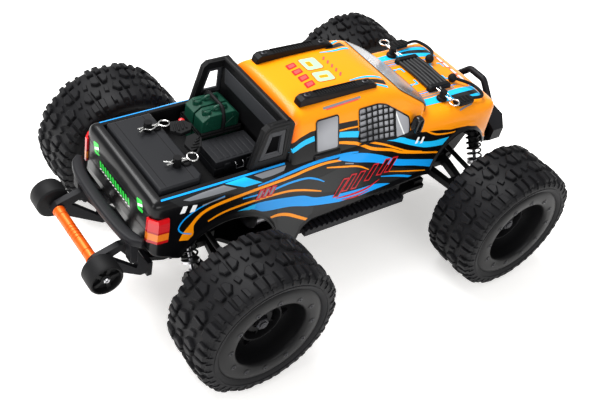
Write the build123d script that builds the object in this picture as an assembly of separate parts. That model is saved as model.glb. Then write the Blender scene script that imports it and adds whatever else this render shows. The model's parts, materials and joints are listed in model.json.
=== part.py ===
from build123d import *
import math
import os

# Radio-controlled monster truck. Millimetres, +X forward, +Y left, +Z up.
# The origin is on the ground under the middle of the truck.

# ---- driving dimensions ----
WHEELBASE = 196.0
FRONT_AXLE_X = 110.5
REAR_AXLE_X = FRONT_AXLE_X - WHEELBASE
HALF_TRACK = 85.5
TYRE_RADIUS = 46.0
TYRE_WIDTH = 41.0
AXLE_Z = TYRE_RADIUS
LUG_TOP = 45.9

RIM_RADIUS = 33.0
RIM_BORE = 29.5
BEADLOCK_RADIUS = 31.5
BEADLOCK_BORE = 23.0
BEADLOCK_SCREWS = 12
BEADLOCK_SCREW_CIRCLE = 26.5
STUB_AXLE_RADIUS = 2.5

ARM_INNER_Y, ARM_INNER_Z = 16.0, 42.0
ARM_OUTER_Y, ARM_OUTER_Z = 62.0, 40.0
LINK_INNER_Y, LINK_INNER_Z = 16.0, 62.0
LINK_OUTER_Y, LINK_OUTER_Z = 60.0, 58.0
HINGE_PIN_RADIUS = 1.5
OUTER_PIN_RADIUS = 1.25
RUNNING_GAP = 0.05
OPEN_PIVOT_GAP = 0.9

SHOCK_OFFSET_X = 16.0
SHOCK_TOP_Y, SHOCK_TOP_Z = 26.0, 82.0
SHOCK_LOW_Y, SHOCK_LOW_Z = 46.0, 46.5
SHOCK_LENGTH = math.hypot(SHOCK_LOW_Y - SHOCK_TOP_Y, SHOCK_LOW_Z - SHOCK_TOP_Z)
SHOCK_BODY_RADIUS = 3.6
SHOCK_ROD_RADIUS = 1.25
SPRING_RADIUS = 5.4
SPRING_WIRE = 0.6

TOWER_NEAR_X, TOWER_FAR_X = 7.4, 10.2

STEER_PIVOT_Y = 69.0
STEER_ARM = 12.0
SERVO_X, SERVO_Y = 66.0, 13.0

SHELL_WALL = 1.4
STEP_Z = 47.0
REAR_BAR_Z = (75.0, 80.0)
HOOP_RADIUS = 2.4
TAIL_LAMP_Z = (76.5, 93.0)
MIRROR_NEAR_Y = 39.5
MIRROR_FAR_Y = 45.0
BED_FLOOR_Z = 88.0
BED_REAR_X, BED_FRONT_X, BED_HALF_WIDTH = -121.5, -41.5, 33.2

CHASSIS_BOTTOM_Z = 33.0
CHASSIS_TOP_Z = 36.0

FRONT_POST = (88.9, 26.4)
REAR_POST = (-101.9, 17.0)
POST_RADIUS = 2.4
POST_HOLE_RADIUS = 3.0
FRONT_POST_TOP_Z = 113.0
REAR_POST_TOP_Z = 111.0

WHEELIE_X, WHEELIE_Z = -152.8, 57.7
WHEELIE_RADIUS = 10.2
WHEELIE_IN_Y, WHEELIE_OUT_Y = 27.7, 40.1
WHEELIE_AXLE_RADIUS = 1.5

CORNERS = (("fl", FRONT_AXLE_X, 1, 1), ("fr", FRONT_AXLE_X, -1, 1),
           ("rl", REAR_AXLE_X, 1, -1), ("rr", REAR_AXLE_X, -1, -1))

PARTS = {}


# ---- small helpers ----
def prism_y(points, y0, y1):
    """A closed outline of (x, z) points, carried along Y from y0 to y1."""
    face = make_face(Polyline(*[(x, y0, z) for x, z in points], close=True))
    return extrude(face, amount=y1 - y0, dir=(0, 1, 0))


def prism_x(points, x0, x1):
    """A closed outline of (y, z) points, carried along X from x0 to x1."""
    face = make_face(Polyline(*[(x0, y, z) for y, z in points], close=True))
    return extrude(face, amount=x1 - x0, dir=(1, 0, 0))


def prism_z(points, z0, z1):
    """A closed outline of (x, y) points, carried along Z from z0 to z1."""
    face = make_face(Polyline(*[(x, y, z0) for x, y in points], close=True))
    return extrude(face, amount=z1 - z0, dir=(0, 0, 1))


def block(x0, x1, y0, y1, z0, z1):
    """A box between two corners."""
    centre = Pos((x0 + x1) / 2, (y0 + y1) / 2, (z0 + z1) / 2)
    return centre * Box(x1 - x0, y1 - y0, z1 - z0)


def rod(start, end, radius):
    """A round bar between two points."""
    a, b = Vector(*start), Vector(*end)
    return Solid.make_cylinder(radius, (b - a).length, Plane(origin=a, z_dir=b - a))


def bar_x(x0, x1, y, z, radius):
    """A round bar along X."""
    return rod((x0, y, z), (x1, y, z), radius)


def bar_y(x, y0, y1, z, radius):
    """A round bar along Y."""
    return rod((x, y0, z), (x, y1, z), radius)


def tube(points, radius, bend):
    """A round bar that follows straight runs joined by arcs of one bend radius."""
    path = FilletPolyline(*points, radius=bend)
    return sweep(Plane(origin=path @ 0, z_dir=path % 0) * Circle(radius), path=path)


def mirrored(outline):
    """A half outline with positive first coordinates, closed by its mirror image."""
    return list(outline) + [(-a, b) for a, b in reversed(outline) if a > 0]


def inset(points, distance):
    """A clockwise or anticlockwise outline moved inwards by distance, corners mitred."""
    count = len(points)
    area = sum(points[i - 1][0] * points[i][1] - points[i][0] * points[i - 1][1] for i in range(count))
    side = 1 if area > 0 else -1
    moved = []
    for i in range(count):
        before, here, after = points[i - 1], points[i], points[(i + 1) % count]
        n1 = edge_normal(before, here, side)
        n2 = edge_normal(here, after, side)
        scale = distance / (1 + n1[0] * n2[0] + n1[1] * n2[1])
        moved.append((here[0] + (n1[0] + n2[0]) * scale, here[1] + (n1[1] + n2[1]) * scale))
    return moved


def edge_normal(a, b, side):
    """The unit normal of an outline's edge that points into the outline."""
    length = math.hypot(b[0] - a[0], b[1] - a[1])
    return (-(b[1] - a[1]) / length * side, (b[0] - a[0]) / length * side)


def keep(node, *solids):
    """Store a node as one solid or as a group of separate solids."""
    flat = [s for item in solids for s in (item if isinstance(item, (list, tuple)) else [item])]
    pieces = [s for item in flat for s in item.solids()]
    PARTS[node] = pieces[0] if len(pieces) == 1 else Compound(children=pieces)


# ---- wheels ----
def tyre(x, side):
    """Chunky tyre: a crowned carcass on the rim with two rows of side lugs."""
    half = TYRE_WIDTH / 2
    with_bead = [(RIM_RADIUS, -half + 4), (RIM_RADIUS + 2, -half + 1.5), (38, -half),
                 (41.5, -half + 0.5), (43.5, -half + 3), (44, 0)]
    outline = with_bead + [(r, -y) for r, y in reversed(with_bead[:-1])]
    y0 = side * HALF_TRACK
    face = make_face(Polyline(*[(x + r, y0 + y, AXLE_Z) for r, y in outline], close=True))
    carcass = revolve(face, axis=Axis((x, y0, AXLE_Z), (0, 1, 0)), revolution_arc=360)
    lug = block(x - 4.5, x + 4.5, y0 - half + 1.5, y0 - 2.0, AXLE_Z + 42.0, AXLE_Z + LUG_TOP)
    lug_other = block(x - 4.5, x + 4.5, y0 + 2.0, y0 + half - 1.5, AXLE_Z + 42.0, AXLE_Z + LUG_TOP)
    axle = Axis((x, y0, AXLE_Z), (0, 1, 0))
    lugs = 18
    solid = carcass
    for i in range(lugs):
        solid += lug.rotate(axle, 360 / lugs * i)
        solid += lug_other.rotate(axle, 360 / lugs * (i + 0.5))
    return solid


def wheel_rim(x, side):
    """Deep-dish wheel: rim, pierced disc, stub axle, beadlock ring, ring screws and wheel nut."""
    half = TYRE_WIDTH / 2
    y_out = side * (HALF_TRACK + half - 2.0)
    y_in = side * (HALF_TRACK - half + 3.5)
    y_disc = side * (HALF_TRACK + 3.0)
    barrel = bar_y(x, y_in, y_out, AXLE_Z, RIM_RADIUS)
    barrel -= bar_y(x, y_in - side, y_out + side, AXLE_Z, RIM_BORE)
    disc = bar_y(x, y_disc - side * 3.0, y_disc, AXLE_Z, 30.0)
    axle = Axis((x, 0, AXLE_Z), (0, 1, 0))
    hole = bar_y(x + 20.5, y_disc - side * 5, y_disc + side * 2, AXLE_Z, 4.2)
    for i in range(8):
        disc -= hole.rotate(axle, 45 * i)
    hub = bar_y(x, y_disc - side * 6.0, y_disc + side * 4.0, AXLE_Z, 8.5)
    stub = bar_y(x, side * 73.0, y_disc, AXLE_Z, STUB_AXLE_RADIUS - RUNNING_GAP)
    wheel = barrel + disc + hub + stub
    ring = bar_y(x, y_out, y_out + side * 1.6, AXLE_Z, BEADLOCK_RADIUS)
    wheel += ring - bar_y(x, y_out - side, y_out + side * 3, AXLE_Z, BEADLOCK_BORE)
    screw = bar_y(x + BEADLOCK_SCREW_CIRCLE, y_out + side * 1.6, y_out + side * 2.0, AXLE_Z, 1.5)
    for i in range(BEADLOCK_SCREWS):
        wheel += screw.rotate(axle, 360 / BEADLOCK_SCREWS * i)
    nut_at = Plane(origin=(x, y_disc + side * 4.0, AXLE_Z), z_dir=(0, side, 0))
    return wheel + extrude(nut_at * RegularPolygon(4.2, 6), amount=4.5)


# ---- suspension ----
def lower_arm(x, side, ahead):
    """Lower arm: a tapered plate with hinge barrels and a lug for the shock."""
    plan = [(x - 12, 16), (x + 12, 16), (x + 11, 26), (x + 6, 50),
            (x + 6, 62), (x - 6, 62), (x - 6, 50), (x - 11, 26)]
    plate = prism_z([(px, side * py) for px, py in plan], 30, 50)
    slab = [(16, ARM_INNER_Z - 2.2), (62, ARM_OUTER_Z - 2.2), (62, ARM_OUTER_Z + 2.2),
            (16, ARM_INNER_Z + 2.2)]
    plate = plate & prism_x([(side * y, z) for y, z in slab], x - 30, x + 30)
    pocket = [(x - 6, side * 23), (x + 6, side * 23), (x + 3, side * 40), (x - 3, side * 40)]
    arm = plate - prism_z(pocket, 30, 50)
    arm += bar_x(x - 12, x + 12, side * ARM_INNER_Y, ARM_INNER_Z, 3.2)
    arm += bar_x(x - 6, x + 6, side * ARM_OUTER_Y, ARM_OUTER_Z, 2.8)
    mount_x = x + ahead * SHOCK_OFFSET_X
    far_x = mount_x + ahead * 4.4
    low, high = sorted((x + ahead * 4, far_x))
    arm += block(low, high, min(side * 42, side * 50), max(side * 42, side * 50), 38.6, 42.0)
    for inner, outer in ((-4.4, -2.9), (2.9, 4.4)):
        x0, x1 = sorted((mount_x + ahead * inner, mount_x + ahead * outer))
        lug = [(42.8, 40), (49.2, 40), (48.6, 47), (47, 49.2), (45, 49.2), (43.4, 47)]
        arm += prism_x([(side * y, z) for y, z in lug], x0, x1)
    arm += bar_x(mount_x - 3, mount_x + 3, side * SHOCK_LOW_Y, SHOCK_LOW_Z, 1.2)
    arm -= bar_x(x - 20, x + 13, side * ARM_INNER_Y, ARM_INNER_Z, HINGE_PIN_RADIUS + RUNNING_GAP)
    arm -= bar_x(x - 20, x + 20, side * ARM_OUTER_Y, ARM_OUTER_Z, OUTER_PIN_RADIUS + RUNNING_GAP)
    return arm


def upright_ears(x, side, block_y):
    """The ears and pins that join an upright to the lower arm and the upper link."""
    ears = []
    y_arm, y_link, y_block = side * ARM_OUTER_Y, side * LINK_OUTER_Y, side * block_y
    for dx in (-1, 1):
        x0, x1 = sorted((x + dx * 6.4, x + dx * 9.2))
        low = [(y_block, 36.8), (y_arm, 37.2), (y_arm - side * 2.8, 40), (y_arm, 42.8), (y_block, 43.2)]
        ears.append(prism_x(low, x0, x1))
        x0, x1 = sorted((x + dx * 3.5, x + dx * 6.0))
        high = [(y_block, 54.5), (y_link, 55.2), (y_link - side * 2.8, 58), (y_link, 60.8),
                (y_block, 61.5)]
        ears.append(prism_x(high, x0, x1))
    ears.append(bar_x(x - 7, x + 7, y_arm, ARM_OUTER_Z, OUTER_PIN_RADIUS))
    ears.append(bar_x(x - 4, x + 4, y_link, LINK_OUTER_Z, 1.2))
    return ears


def rear_hub_carrier(x, side):
    """Rear upright that holds the wheel bearing."""
    y0, y1 = sorted((side * 66.0, side * 76.0))
    carrier = block(x - 9.2, x + 9.2, y0, y1, 36.8, 61.5)
    carrier += bar_y(x, side * 66.0, side * 79.0, AXLE_Z, 6.5)
    for ear in upright_ears(x, side, 66.5):
        carrier += ear
    return carrier - bar_y(x, side * 60.0, side * 82.0, AXLE_Z, STUB_AXLE_RADIUS)


def caster_block(x, side):
    """Front C-shaped upright that the steering knuckle turns in."""
    y0, y1 = sorted((side * 65.0, side * 72.5))
    top = block(x - 6.0, x + 6.0, y0, y1, 57.5, 61.5)
    bottom = block(x - 9.2, x + 9.2, y0, y1, 36.8, 40.0)
    caster = top + bottom
    y2, y3 = sorted((side * 64.8, side * 66.0))
    for dx in (-1, 1):
        x0, x1 = sorted((x + dx * 6.4, x + dx * 9.2))
        caster += block(x0, x1, y2, y3, 36.8, 61.5)
        x0, x1 = sorted((x + dx * 5.0, x + dx * 9.2))
        caster += block(x0, x1, y2, y3, 57.5, 61.5)
    for ear in upright_ears(x, side, 65.5):
        caster += ear
    pin = Pos(x, side * STEER_PIVOT_Y, 0)
    caster += pin * Pos(0, 0, 55.6) * Cylinder(1.5, 4.0)
    caster += pin * Pos(0, 0, 41.9) * Cylinder(1.5, 4.0)
    y0, y1 = sorted((side * 60, side * 69))
    shaft_room = block(x - 5.5, x + 5.5, y0, y1, 43.9, 53.6)
    return caster - shaft_room


def steering_knuckle(x, side):
    """Front knuckle: bearing boss, king-pin bosses and the backward steering arm."""
    boss = bar_y(x, side * 72.0, side * 82.0, AXLE_Z, 5.2)
    y0, y1 = sorted((side * 72.0, side * 76.5))
    boss += block(x - 4.6, x + 4.6, y0, y1, 40.6, 56.9)
    y0, y1 = sorted((side * 66.4, side * 72.5))
    boss += block(x - 3.6, x + 3.6, y0, y1, 40.6, 43.4)
    boss += block(x - 3.6, x + 3.6, y0, y1, 54.1, 56.9)
    y0, y1 = sorted((side * 72.0, side * 75.0))
    boss += block(x - STEER_ARM - 3, x - 3, y0, y1, 49.0, 52.0)
    pin = Pos(x, side * STEER_PIVOT_Y, 0)
    boss -= pin * Pos(0, 0, 55.6) * Cylinder(1.5 + RUNNING_GAP, 6.0)
    boss -= pin * Pos(0, 0, 41.9) * Cylinder(1.5 + RUNNING_GAP, 6.0)
    return boss - bar_y(x, side * 60.0, side * 83.0, AXLE_Z, STUB_AXLE_RADIUS)


def upper_link(x, side):
    """Upper camber link: a rod with an eye at each end."""
    y_in, y_out = side * LINK_INNER_Y, side * LINK_OUTER_Y
    link = rod((x, y_in, LINK_INNER_Z), (x, y_out, LINK_OUTER_Z), 1.7)
    link += bar_x(x - 3.9, x + 3.9, y_in, LINK_INNER_Z, 3.2)
    link += bar_x(x - 2.9, x + 2.9, y_out, LINK_OUTER_Z, 3.4)
    link -= bar_x(x - 6, x + 6, y_in, LINK_INNER_Z, OUTER_PIN_RADIUS + RUNNING_GAP)
    return link - bar_x(x - 6, x + 6, y_out, LINK_OUTER_Z, 1.2 + OPEN_PIVOT_GAP)


def shock_point(x, side, ahead, along):
    """A point on a shock's centre line, along millimetres below its top eye."""
    t = along / SHOCK_LENGTH
    y = SHOCK_TOP_Y + (SHOCK_LOW_Y - SHOCK_TOP_Y) * t
    z = SHOCK_TOP_Z + (SHOCK_LOW_Z - SHOCK_TOP_Z) * t
    return (x + ahead * SHOCK_OFFSET_X, side * y, z)


def shock_body(x, side, ahead):
    """Oil-filled shock body with its cap and top eye, bored for the rod."""
    mount_x = x + ahead * SHOCK_OFFSET_X
    body_end = shock_point(x, side, ahead, 23.2)
    body = rod(shock_point(x, side, ahead, 2.8), body_end, SHOCK_BODY_RADIUS)
    body += rod(shock_point(x, side, ahead, 3.5), shock_point(x, side, ahead, 6.5), SPRING_RADIUS)
    body += bar_x(mount_x - 2.6, mount_x + 2.6, side * SHOCK_TOP_Y, SHOCK_TOP_Z, 3.4)
    bore_start = shock_point(x, side, ahead, 5.6)
    bore_end = shock_point(x, side, ahead, 22.0)
    body -= rod(bore_start, bore_end, SHOCK_BODY_RADIUS - 1.2)
    seal_end = shock_point(x, side, ahead, 25.0)
    body -= rod(bore_end, seal_end, SHOCK_ROD_RADIUS + RUNNING_GAP)
    pin_bore = HINGE_PIN_RADIUS + RUNNING_GAP
    return body - bar_x(mount_x - 6, mount_x + 6, side * SHOCK_TOP_Y, SHOCK_TOP_Z, pin_bore)


def shock_rod(x, side, ahead):
    """Shock rod with its piston, spring perch and lower eye."""
    mount_x = x + ahead * SHOCK_OFFSET_X
    top = shock_point(x, side, ahead, 14.2)
    piece = rod(top, shock_point(x, side, ahead, SHOCK_LENGTH - 2.6), SHOCK_ROD_RADIUS)
    piece += rod(top, shock_point(x, side, ahead, 15.6), SHOCK_BODY_RADIUS - 1.5)
    piece += rod(shock_point(x, side, ahead, 31.6), shock_point(x, side, ahead, 33.0), SPRING_RADIUS)
    piece += bar_x(mount_x - 2.3, mount_x + 2.3, side * SHOCK_LOW_Y, SHOCK_LOW_Z, 3.4)
    eye_bore = 1.2 + OPEN_PIVOT_GAP
    return piece - bar_x(mount_x - 6, mount_x + 6, side * SHOCK_LOW_Y, SHOCK_LOW_Z, eye_bore)


def shock_spring(x, side, ahead):
    """Coil spring between the shock's cap and its perch."""
    start = Vector(*shock_point(x, side, ahead, 7.6))
    end = Vector(*shock_point(x, side, ahead, 30.5))
    height = (end - start).length
    coil = Helix(pitch=height / 6, height=height, radius=SPRING_RADIUS - 1.0)
    section = Plane(origin=coil @ 0, z_dir=coil % 0) * Circle(SPRING_WIRE)
    wire = sweep(section, path=coil, is_frenet=True)
    return Plane(origin=start, z_dir=end - start).location * wire


# ---- chassis and drive ----
def chassis_tub():
    """Chassis plate with side walls, and ears that hold the lower arms' hinge pins."""
    half_plan = [(-116, 14), (-104, 18), (-66, 18), (-52, 34), (66, 34),
                 (78, 32), (93, 32), (97, 18), (124, 18), (136, 14)]
    outline = half_plan + [(x, -y) for x, y in reversed(half_plan)]
    tub = prism_z(outline, CHASSIS_BOTTOM_Z, CHASSIS_TOP_Z)
    for y in (-34, 31):
        tub += block(-52, 66, y, y + 3, CHASSIS_BOTTOM_Z, 47)
    for _, x, side, _ in CORNERS:
        for dx in (-1, 1):
            x0, x1 = sorted((x + dx * 12.3, x + dx * 14.8))
            y0, y1 = sorted((side * 12.8, side * 19.2))
            tub += block(x0, x1, y0, y1, CHASSIS_BOTTOM_Z, 45.2)
        tub += bar_x(x - 13, x + 13, side * ARM_INNER_Y, ARM_INNER_Z, HINGE_PIN_RADIUS)
    return tub


def gearbox_housing(x):
    """Gearbox casing with output bosses and the ears of the upper links."""
    casing = block(x - 7.2, x + 7.2, -11.5, 11.5, CHASSIS_TOP_Z, 60)
    casing += bar_y(x, -12.4, 12.4, AXLE_Z, 6.0)
    for side in (-1, 1):
        for dx in (-1, 1):
            x0, x1 = sorted((x + dx * 4.4, x + dx * 7.2))
            y0, y1 = sorted((side * 10.0, side * 18.8))
            casing += block(x0, x1, y0, y1, 58.0, 65.4)
        casing += bar_x(x - 5, x + 5, side * LINK_INNER_Y, LINK_INNER_Z, OUTER_PIN_RADIUS)
    return casing - bar_y(x, -16, 16, AXLE_Z, 2.6)


def shock_tower(x, ahead):
    """Upright plate that carries the shocks' top pins."""
    x0, x1 = sorted((x + ahead * TOWER_NEAR_X, x + ahead * TOWER_FAR_X))
    half = [(9, CHASSIS_TOP_Z), (9, 56), (11, 62), (21, 74), (30.5, 78), (30.5, 85), (20, 85.2),
            (8, 76)]
    plate = prism_x(mirrored(half), x0, x1)
    x_pin = x + ahead * (SHOCK_OFFSET_X + 4.0)
    for side in (-1, 1):
        plate += bar_x(x + ahead * 9, x_pin, side * SHOCK_TOP_Y, SHOCK_TOP_Z, HINGE_PIN_RADIUS)
    return plate


def drive_motor():
    """Brushed can motor with its mounting plate and pinion."""
    can = bar_x(-48, -4, -17.5, 53, 12.5)
    can += bar_x(-51, -48, -17.5, 53, 5)
    plate = block(-3.9, -1.4, -31, -5.0, CHASSIS_TOP_Z, 66)
    shaft = bar_x(-4, 8, -17.5, 53, 1.6) + bar_x(0, 7, -17.5, 53, 4.0)
    return [can + plate + shaft]


def drive_shaft():
    """Centre shaft with a drive cup at each end and the spur gear."""
    y, z = 0.0, 45.0
    x_rear, x_front = REAR_AXLE_X + 7.8, FRONT_AXLE_X - 7.8
    shaft = bar_x(x_rear, x_front, y, z, 2.0)
    shaft += bar_x(x_rear, x_rear + 9, y, z, 3.8)
    shaft += bar_x(x_front - 9, x_front, y, z, 3.8)
    return shaft + bar_x(12, 16, y, z, 8.0)


def battery_pack():
    """Battery pack in its tray."""
    pack = block(-46, 44, 11, 30, CHASSIS_TOP_Z, 60)
    return chamfer(pack.edges().filter_by(Axis.X), 2.0)


def control_box():
    """Receiver and speed controller in one case, with cooling ribs."""
    case = block(20, 52, -30, -11, CHASSIS_TOP_Z, 52)
    for i in range(7):
        case += block(23 + 4 * i, 24.6 + 4 * i, -28, -13, 52, 57)
    return case


def steering_servo():
    """Steering servo with its mounting lugs and output boss."""
    servo = block(60, 84, 7, 20, CHASSIS_TOP_Z, 56)
    servo += block(56, 88, 9, 18, 48, 50)
    return servo + Pos(SERVO_X, SERVO_Y, 57) * Cylinder(4.0, 2.0)


def servo_horn():
    """Servo horn that carries the drag link's pin."""
    horn = Pos(SERVO_X, SERVO_Y, 60.0) * Cylinder(4.0, 3.0)
    horn += block(SERVO_X, SERVO_X + STEER_ARM, SERVO_Y - 2.2, SERVO_Y + 2.2, 58.5, 61.5)
    horn += Pos(SERVO_X + STEER_ARM, SERVO_Y, 60.0) * Cylinder(2.8, 3.0)
    return horn + Pos(SERVO_X + STEER_ARM, SERVO_Y, 63.2) * Cylinder(1.2, 4.0)


def steering_link():
    """Drag link that the horn pushes across the truck, slotted for the horn's pin."""
    x = SERVO_X + STEER_ARM
    link = block(x - 4.6, x + 4.6, -22, 22, 62.1, 64.6)
    return link - block(x - 2.6, x + 2.6, SERVO_Y - 1.8, SERVO_Y + 1.8, 60, 68)


# ---- bumpers, wheelie bar, steps ----
def front_bumper():
    """Front bumper: stays, a broad skid block and a hoop in front of the grille."""
    section = [(0, 78), (20, 83), (38.5, 74.5), (38, 65.5), (28, 57), (0, 54)]
    nose = prism_x(mirrored(section), 139.5, 163.0)
    half_plan = [(139.5, 40), (149, 38.5), (158, 25), (163, 12)]
    nose = nose & prism_z(half_plan + [(x, -y) for x, y in reversed(half_plan)], 50, 90)
    nose -= prism_y([(144, 53.9), (163.5, 62.5), (163.5, 50), (144, 50)], -45, 45)
    nose -= prism_y([(146, 90), (163.5, 68), (163.5, 92)], -45, 45)
    nose -= prism_x(mirrored(inset(section, 3.0)), 136, 145)
    stay = [(126, CHASSIS_TOP_Z), (134, CHASSIS_TOP_Z), (147, 58), (147, 66), (140, 66), (126, 46)]
    for y in (-14, 8):
        nose += prism_y(stay, y, y + 6)
    half_hoop = [(150, 24, 77), (151.5, 15, 85), (151.5, 7, 93.8)]
    hoop = tube(half_hoop + [(x, -y, z) for x, y, z in reversed(half_hoop)], HOOP_RADIUS, 5.0)
    return nose + hoop


def rear_bumper():
    """Rear bumper: a curved bar whose ends sweep forward, on two brackets."""
    half_plan = [(-135.6, 0), (-135, 22), (-133.6, 32), (-130.8, 38.2), (-132.6, 40.4), (-139, 35),
                 (-141.6, 24), (-142.8, 0)]
    plan = half_plan + [(x, -y) for x, y in reversed(half_plan) if y > 0]
    bar_bottom, bar_top = REAR_BAR_Z
    bar = prism_z(plan, bar_bottom, bar_top)
    bar = chamfer(bar.edges().group_by(Axis.Z)[-1], 1.2)
    bracket = [(-116, CHASSIS_TOP_Z), (-108, CHASSIS_TOP_Z), (-108, 44), (-128, 63), (-132.5, 68),
               (-136, bar_bottom + 0.3), (-141, bar_bottom + 0.3), (-138, 68), (-131, 56)]
    for side in (-1, 1):
        y0, y1 = sorted((side * 8, side * 12))
        bar += prism_y(bracket, y0, y1)
        y0, y1 = sorted((side * 29, side * 35.5))
        bar += block(-138, -132.5, y0, y1, 60, bar_bottom + 0.3)
    return bar


def wheelie_arm(side):
    """One side of the wheelie bar: a plate with a long triangular window."""
    outline = [(WHEELIE_X - 4, WHEELIE_Z), (WHEELIE_X - 1, WHEELIE_Z + 4.5), (-139, 66.8), (-133, 66.8),
               (-119.5, 44), (-119.5, 36.5), (-124, 36.5), (WHEELIE_X + 3, WHEELIE_Z - 5)]
    window = [(WHEELIE_X + 8, WHEELIE_Z + 1.2), (-138, 62), (-126, 46), (-127, 43.5)]
    y0, y1 = sorted((side * 22.2, side * 26.2))
    plate = prism_y(outline, y0, y1) - prism_y(window, y0 - 1, y1 + 1)
    foot = block(-119.5, -116.4, min(side * 14, side * 26.2), max(side * 14, side * 26.2), 33.5, 44)
    plate = plate + foot
    return plate - bar_y(WHEELIE_X, side * 20, side * 30, WHEELIE_Z, WHEELIE_AXLE_RADIUS + RUNNING_GAP)


def wheelie_tube():
    """Turned spacer tube between the wheelie arms, with grooves."""
    spacer = bar_y(WHEELIE_X, -22.1, 22.1, WHEELIE_Z, 3.4)
    for y in (-17, -5, -2.5, 0, 2.5, 5, 17):
        groove = bar_y(WHEELIE_X, y - 0.4, y + 0.4, WHEELIE_Z, 5)
        spacer -= groove - bar_y(WHEELIE_X, y - 1, y + 1, WHEELIE_Z, 2.9)
    return spacer - bar_y(WHEELIE_X, -25, 25, WHEELIE_Z, WHEELIE_AXLE_RADIUS + RUNNING_GAP)


def wheelie_wheels():
    """Two small spoked wheels on one through axle."""
    pair = bar_y(WHEELIE_X, -WHEELIE_OUT_Y + 2, WHEELIE_OUT_Y - 2, WHEELIE_Z, WHEELIE_AXLE_RADIUS)
    axle = Axis((WHEELIE_X, 0, WHEELIE_Z), (0, 1, 0))
    for side in (-1, 1):
        y_in, y_out = side * WHEELIE_IN_Y, side * WHEELIE_OUT_Y
        wheel = bar_y(WHEELIE_X, y_in, y_out, WHEELIE_Z, WHEELIE_RADIUS)
        wheel -= bar_y(WHEELIE_X, y_out - side * 3, y_out + side, WHEELIE_Z, 8.0)
        y0, y1 = sorted((y_out - side * 3.5, y_out - side))
        spoke = block(WHEELIE_X + 1, WHEELIE_X + 8.5, y0, y1, WHEELIE_Z - 1, WHEELIE_Z + 1)
        for i in range(5):
            wheel += spoke.rotate(axle, 72 * i)
        pair += wheel + bar_y(WHEELIE_X, y_out - side * 4, y_out - side * 0.6, WHEELIE_Z, 3.0)
    return pair


def side_step(side):
    """Ribbed step bar with two brackets to the chassis."""
    y0, y1 = sorted((side * 40.0, side * 48.5))
    step = block(-24, 56, y0, y1, STEP_Z, STEP_Z + 4.0)
    for i in range(20):
        step += block(-22.5 + 4 * i, -20.5 + 4 * i, y0, y1, STEP_Z + 4.0, STEP_Z + 5.2)
    for x in (-10, 36):
        y2, y3 = sorted((side * 34.0, side * 42.0))
        step += block(x, x + 6, y2, y3, STEP_Z - 3.5, STEP_Z + 0.5)
    return step


# ---- body shell ----
LOWER_SIDE = [(-126.5, 67), (-128.5, 71), (-128.5, 97), (-126.5, 102), (-40, 103), (70, 107),
              (100, 106), (124, 102.5), (134, 98.5), (138, 90), (138, 80), (136.5, 76), (127, 71.5),
              (76, 62), (-20, 56.5), (-27, 49.5), (-29.5, 40), (-50, 40)]
ABOVE_EDGE = slice(1, 12)      # the corners of LOWER_SIDE above its open edge
LOWER_SECTION = [(44, 0), (45.5, 49), (43, 70), (42, 88), (40.5, 96), (37.6, 102), (34, 104.6),
                 (20, 107), (0, 107.6)]
LOWER_PLAN = [(-129, 0), (-129, 37), (-125, 41.5), (-60, 46), (105, 46), (118, 43), (127, 40.5),
              (131.5, 36), (135.5, 26), (138, 12), (138.5, 0)]
CAB_SIDE = [(-39.5, 96), (-37.5, 125), (-33, 130.5), (-10, 133), (12, 133.4), (32, 131), (43, 127),
            (77, 107), (79, 96)]
CAB_SECTION = [(39.5, 96), (38, 103), (31.4, 125), (28.5, 129.4), (20, 132), (0, 133.4)]
CAB_PLAN = [(-40, 0), (-40, 42), (48, 42), (62, 37.5), (72, 28), (77.5, 14), (78.5, 0)]
SIDE_WINDOWS = ([(-21.2, 124), (-5, 124.2), (-4.6, 104.2), (-20.6, 104.6)],
                [(10.4, 123.8), (25.5, 123.9), (38, 118.2), (50.8, 110.2), (52, 99.6), (39, 98.8),
                 (12.2, 103)])
WINDSHIELD = [(34.8, 108.2), (28.2, 126.4), (-28.2, 126.4), (-34.8, 108.2)]
WINDOW_CLEARANCE = 0.15


def lower_plan_outline():
    """The plan outline of the lower body, both halves."""
    return LOWER_PLAN + [(x, -y) for x, y in reversed(LOWER_PLAN[1:-1])]


def cab_plan_outline():
    """The plan outline of the cab, both halves."""
    return CAB_PLAN + [(x, -y) for x, y in reversed(CAB_PLAN[1:-1])]


def body_volume(depth, open_below=False):
    """The body's outer shape moved inwards by depth; open_below carries it down past its edge."""
    side = inset(LOWER_SIDE, depth)
    if open_below:
        side = side[ABOVE_EDGE] + [(135, 20), (-127, 20)]
    lower = prism_y(side, -60, 60)
    lower = lower & prism_x(inset(mirrored(LOWER_SECTION), depth), -150, 150)
    lower = lower & prism_z(inset(lower_plan_outline(), depth), 10, 140)
    cab = prism_y(inset(CAB_SIDE, depth), -60, 60)
    cab = cab & prism_x(inset(mirrored(CAB_SECTION), depth), -60, 100)
    cab = cab & prism_z(inset(cab_plan_outline(), depth), 80, 150)
    return lower + cab


def wheel_arch(x, z, half_width, height):
    """An elliptical cut across the body."""
    face = Plane(origin=(x, 60, z), z_dir=(0, 1, 0), x_dir=(1, 0, 0)) * Ellipse(half_width, height)
    return extrude(face, amount=-120)


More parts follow.
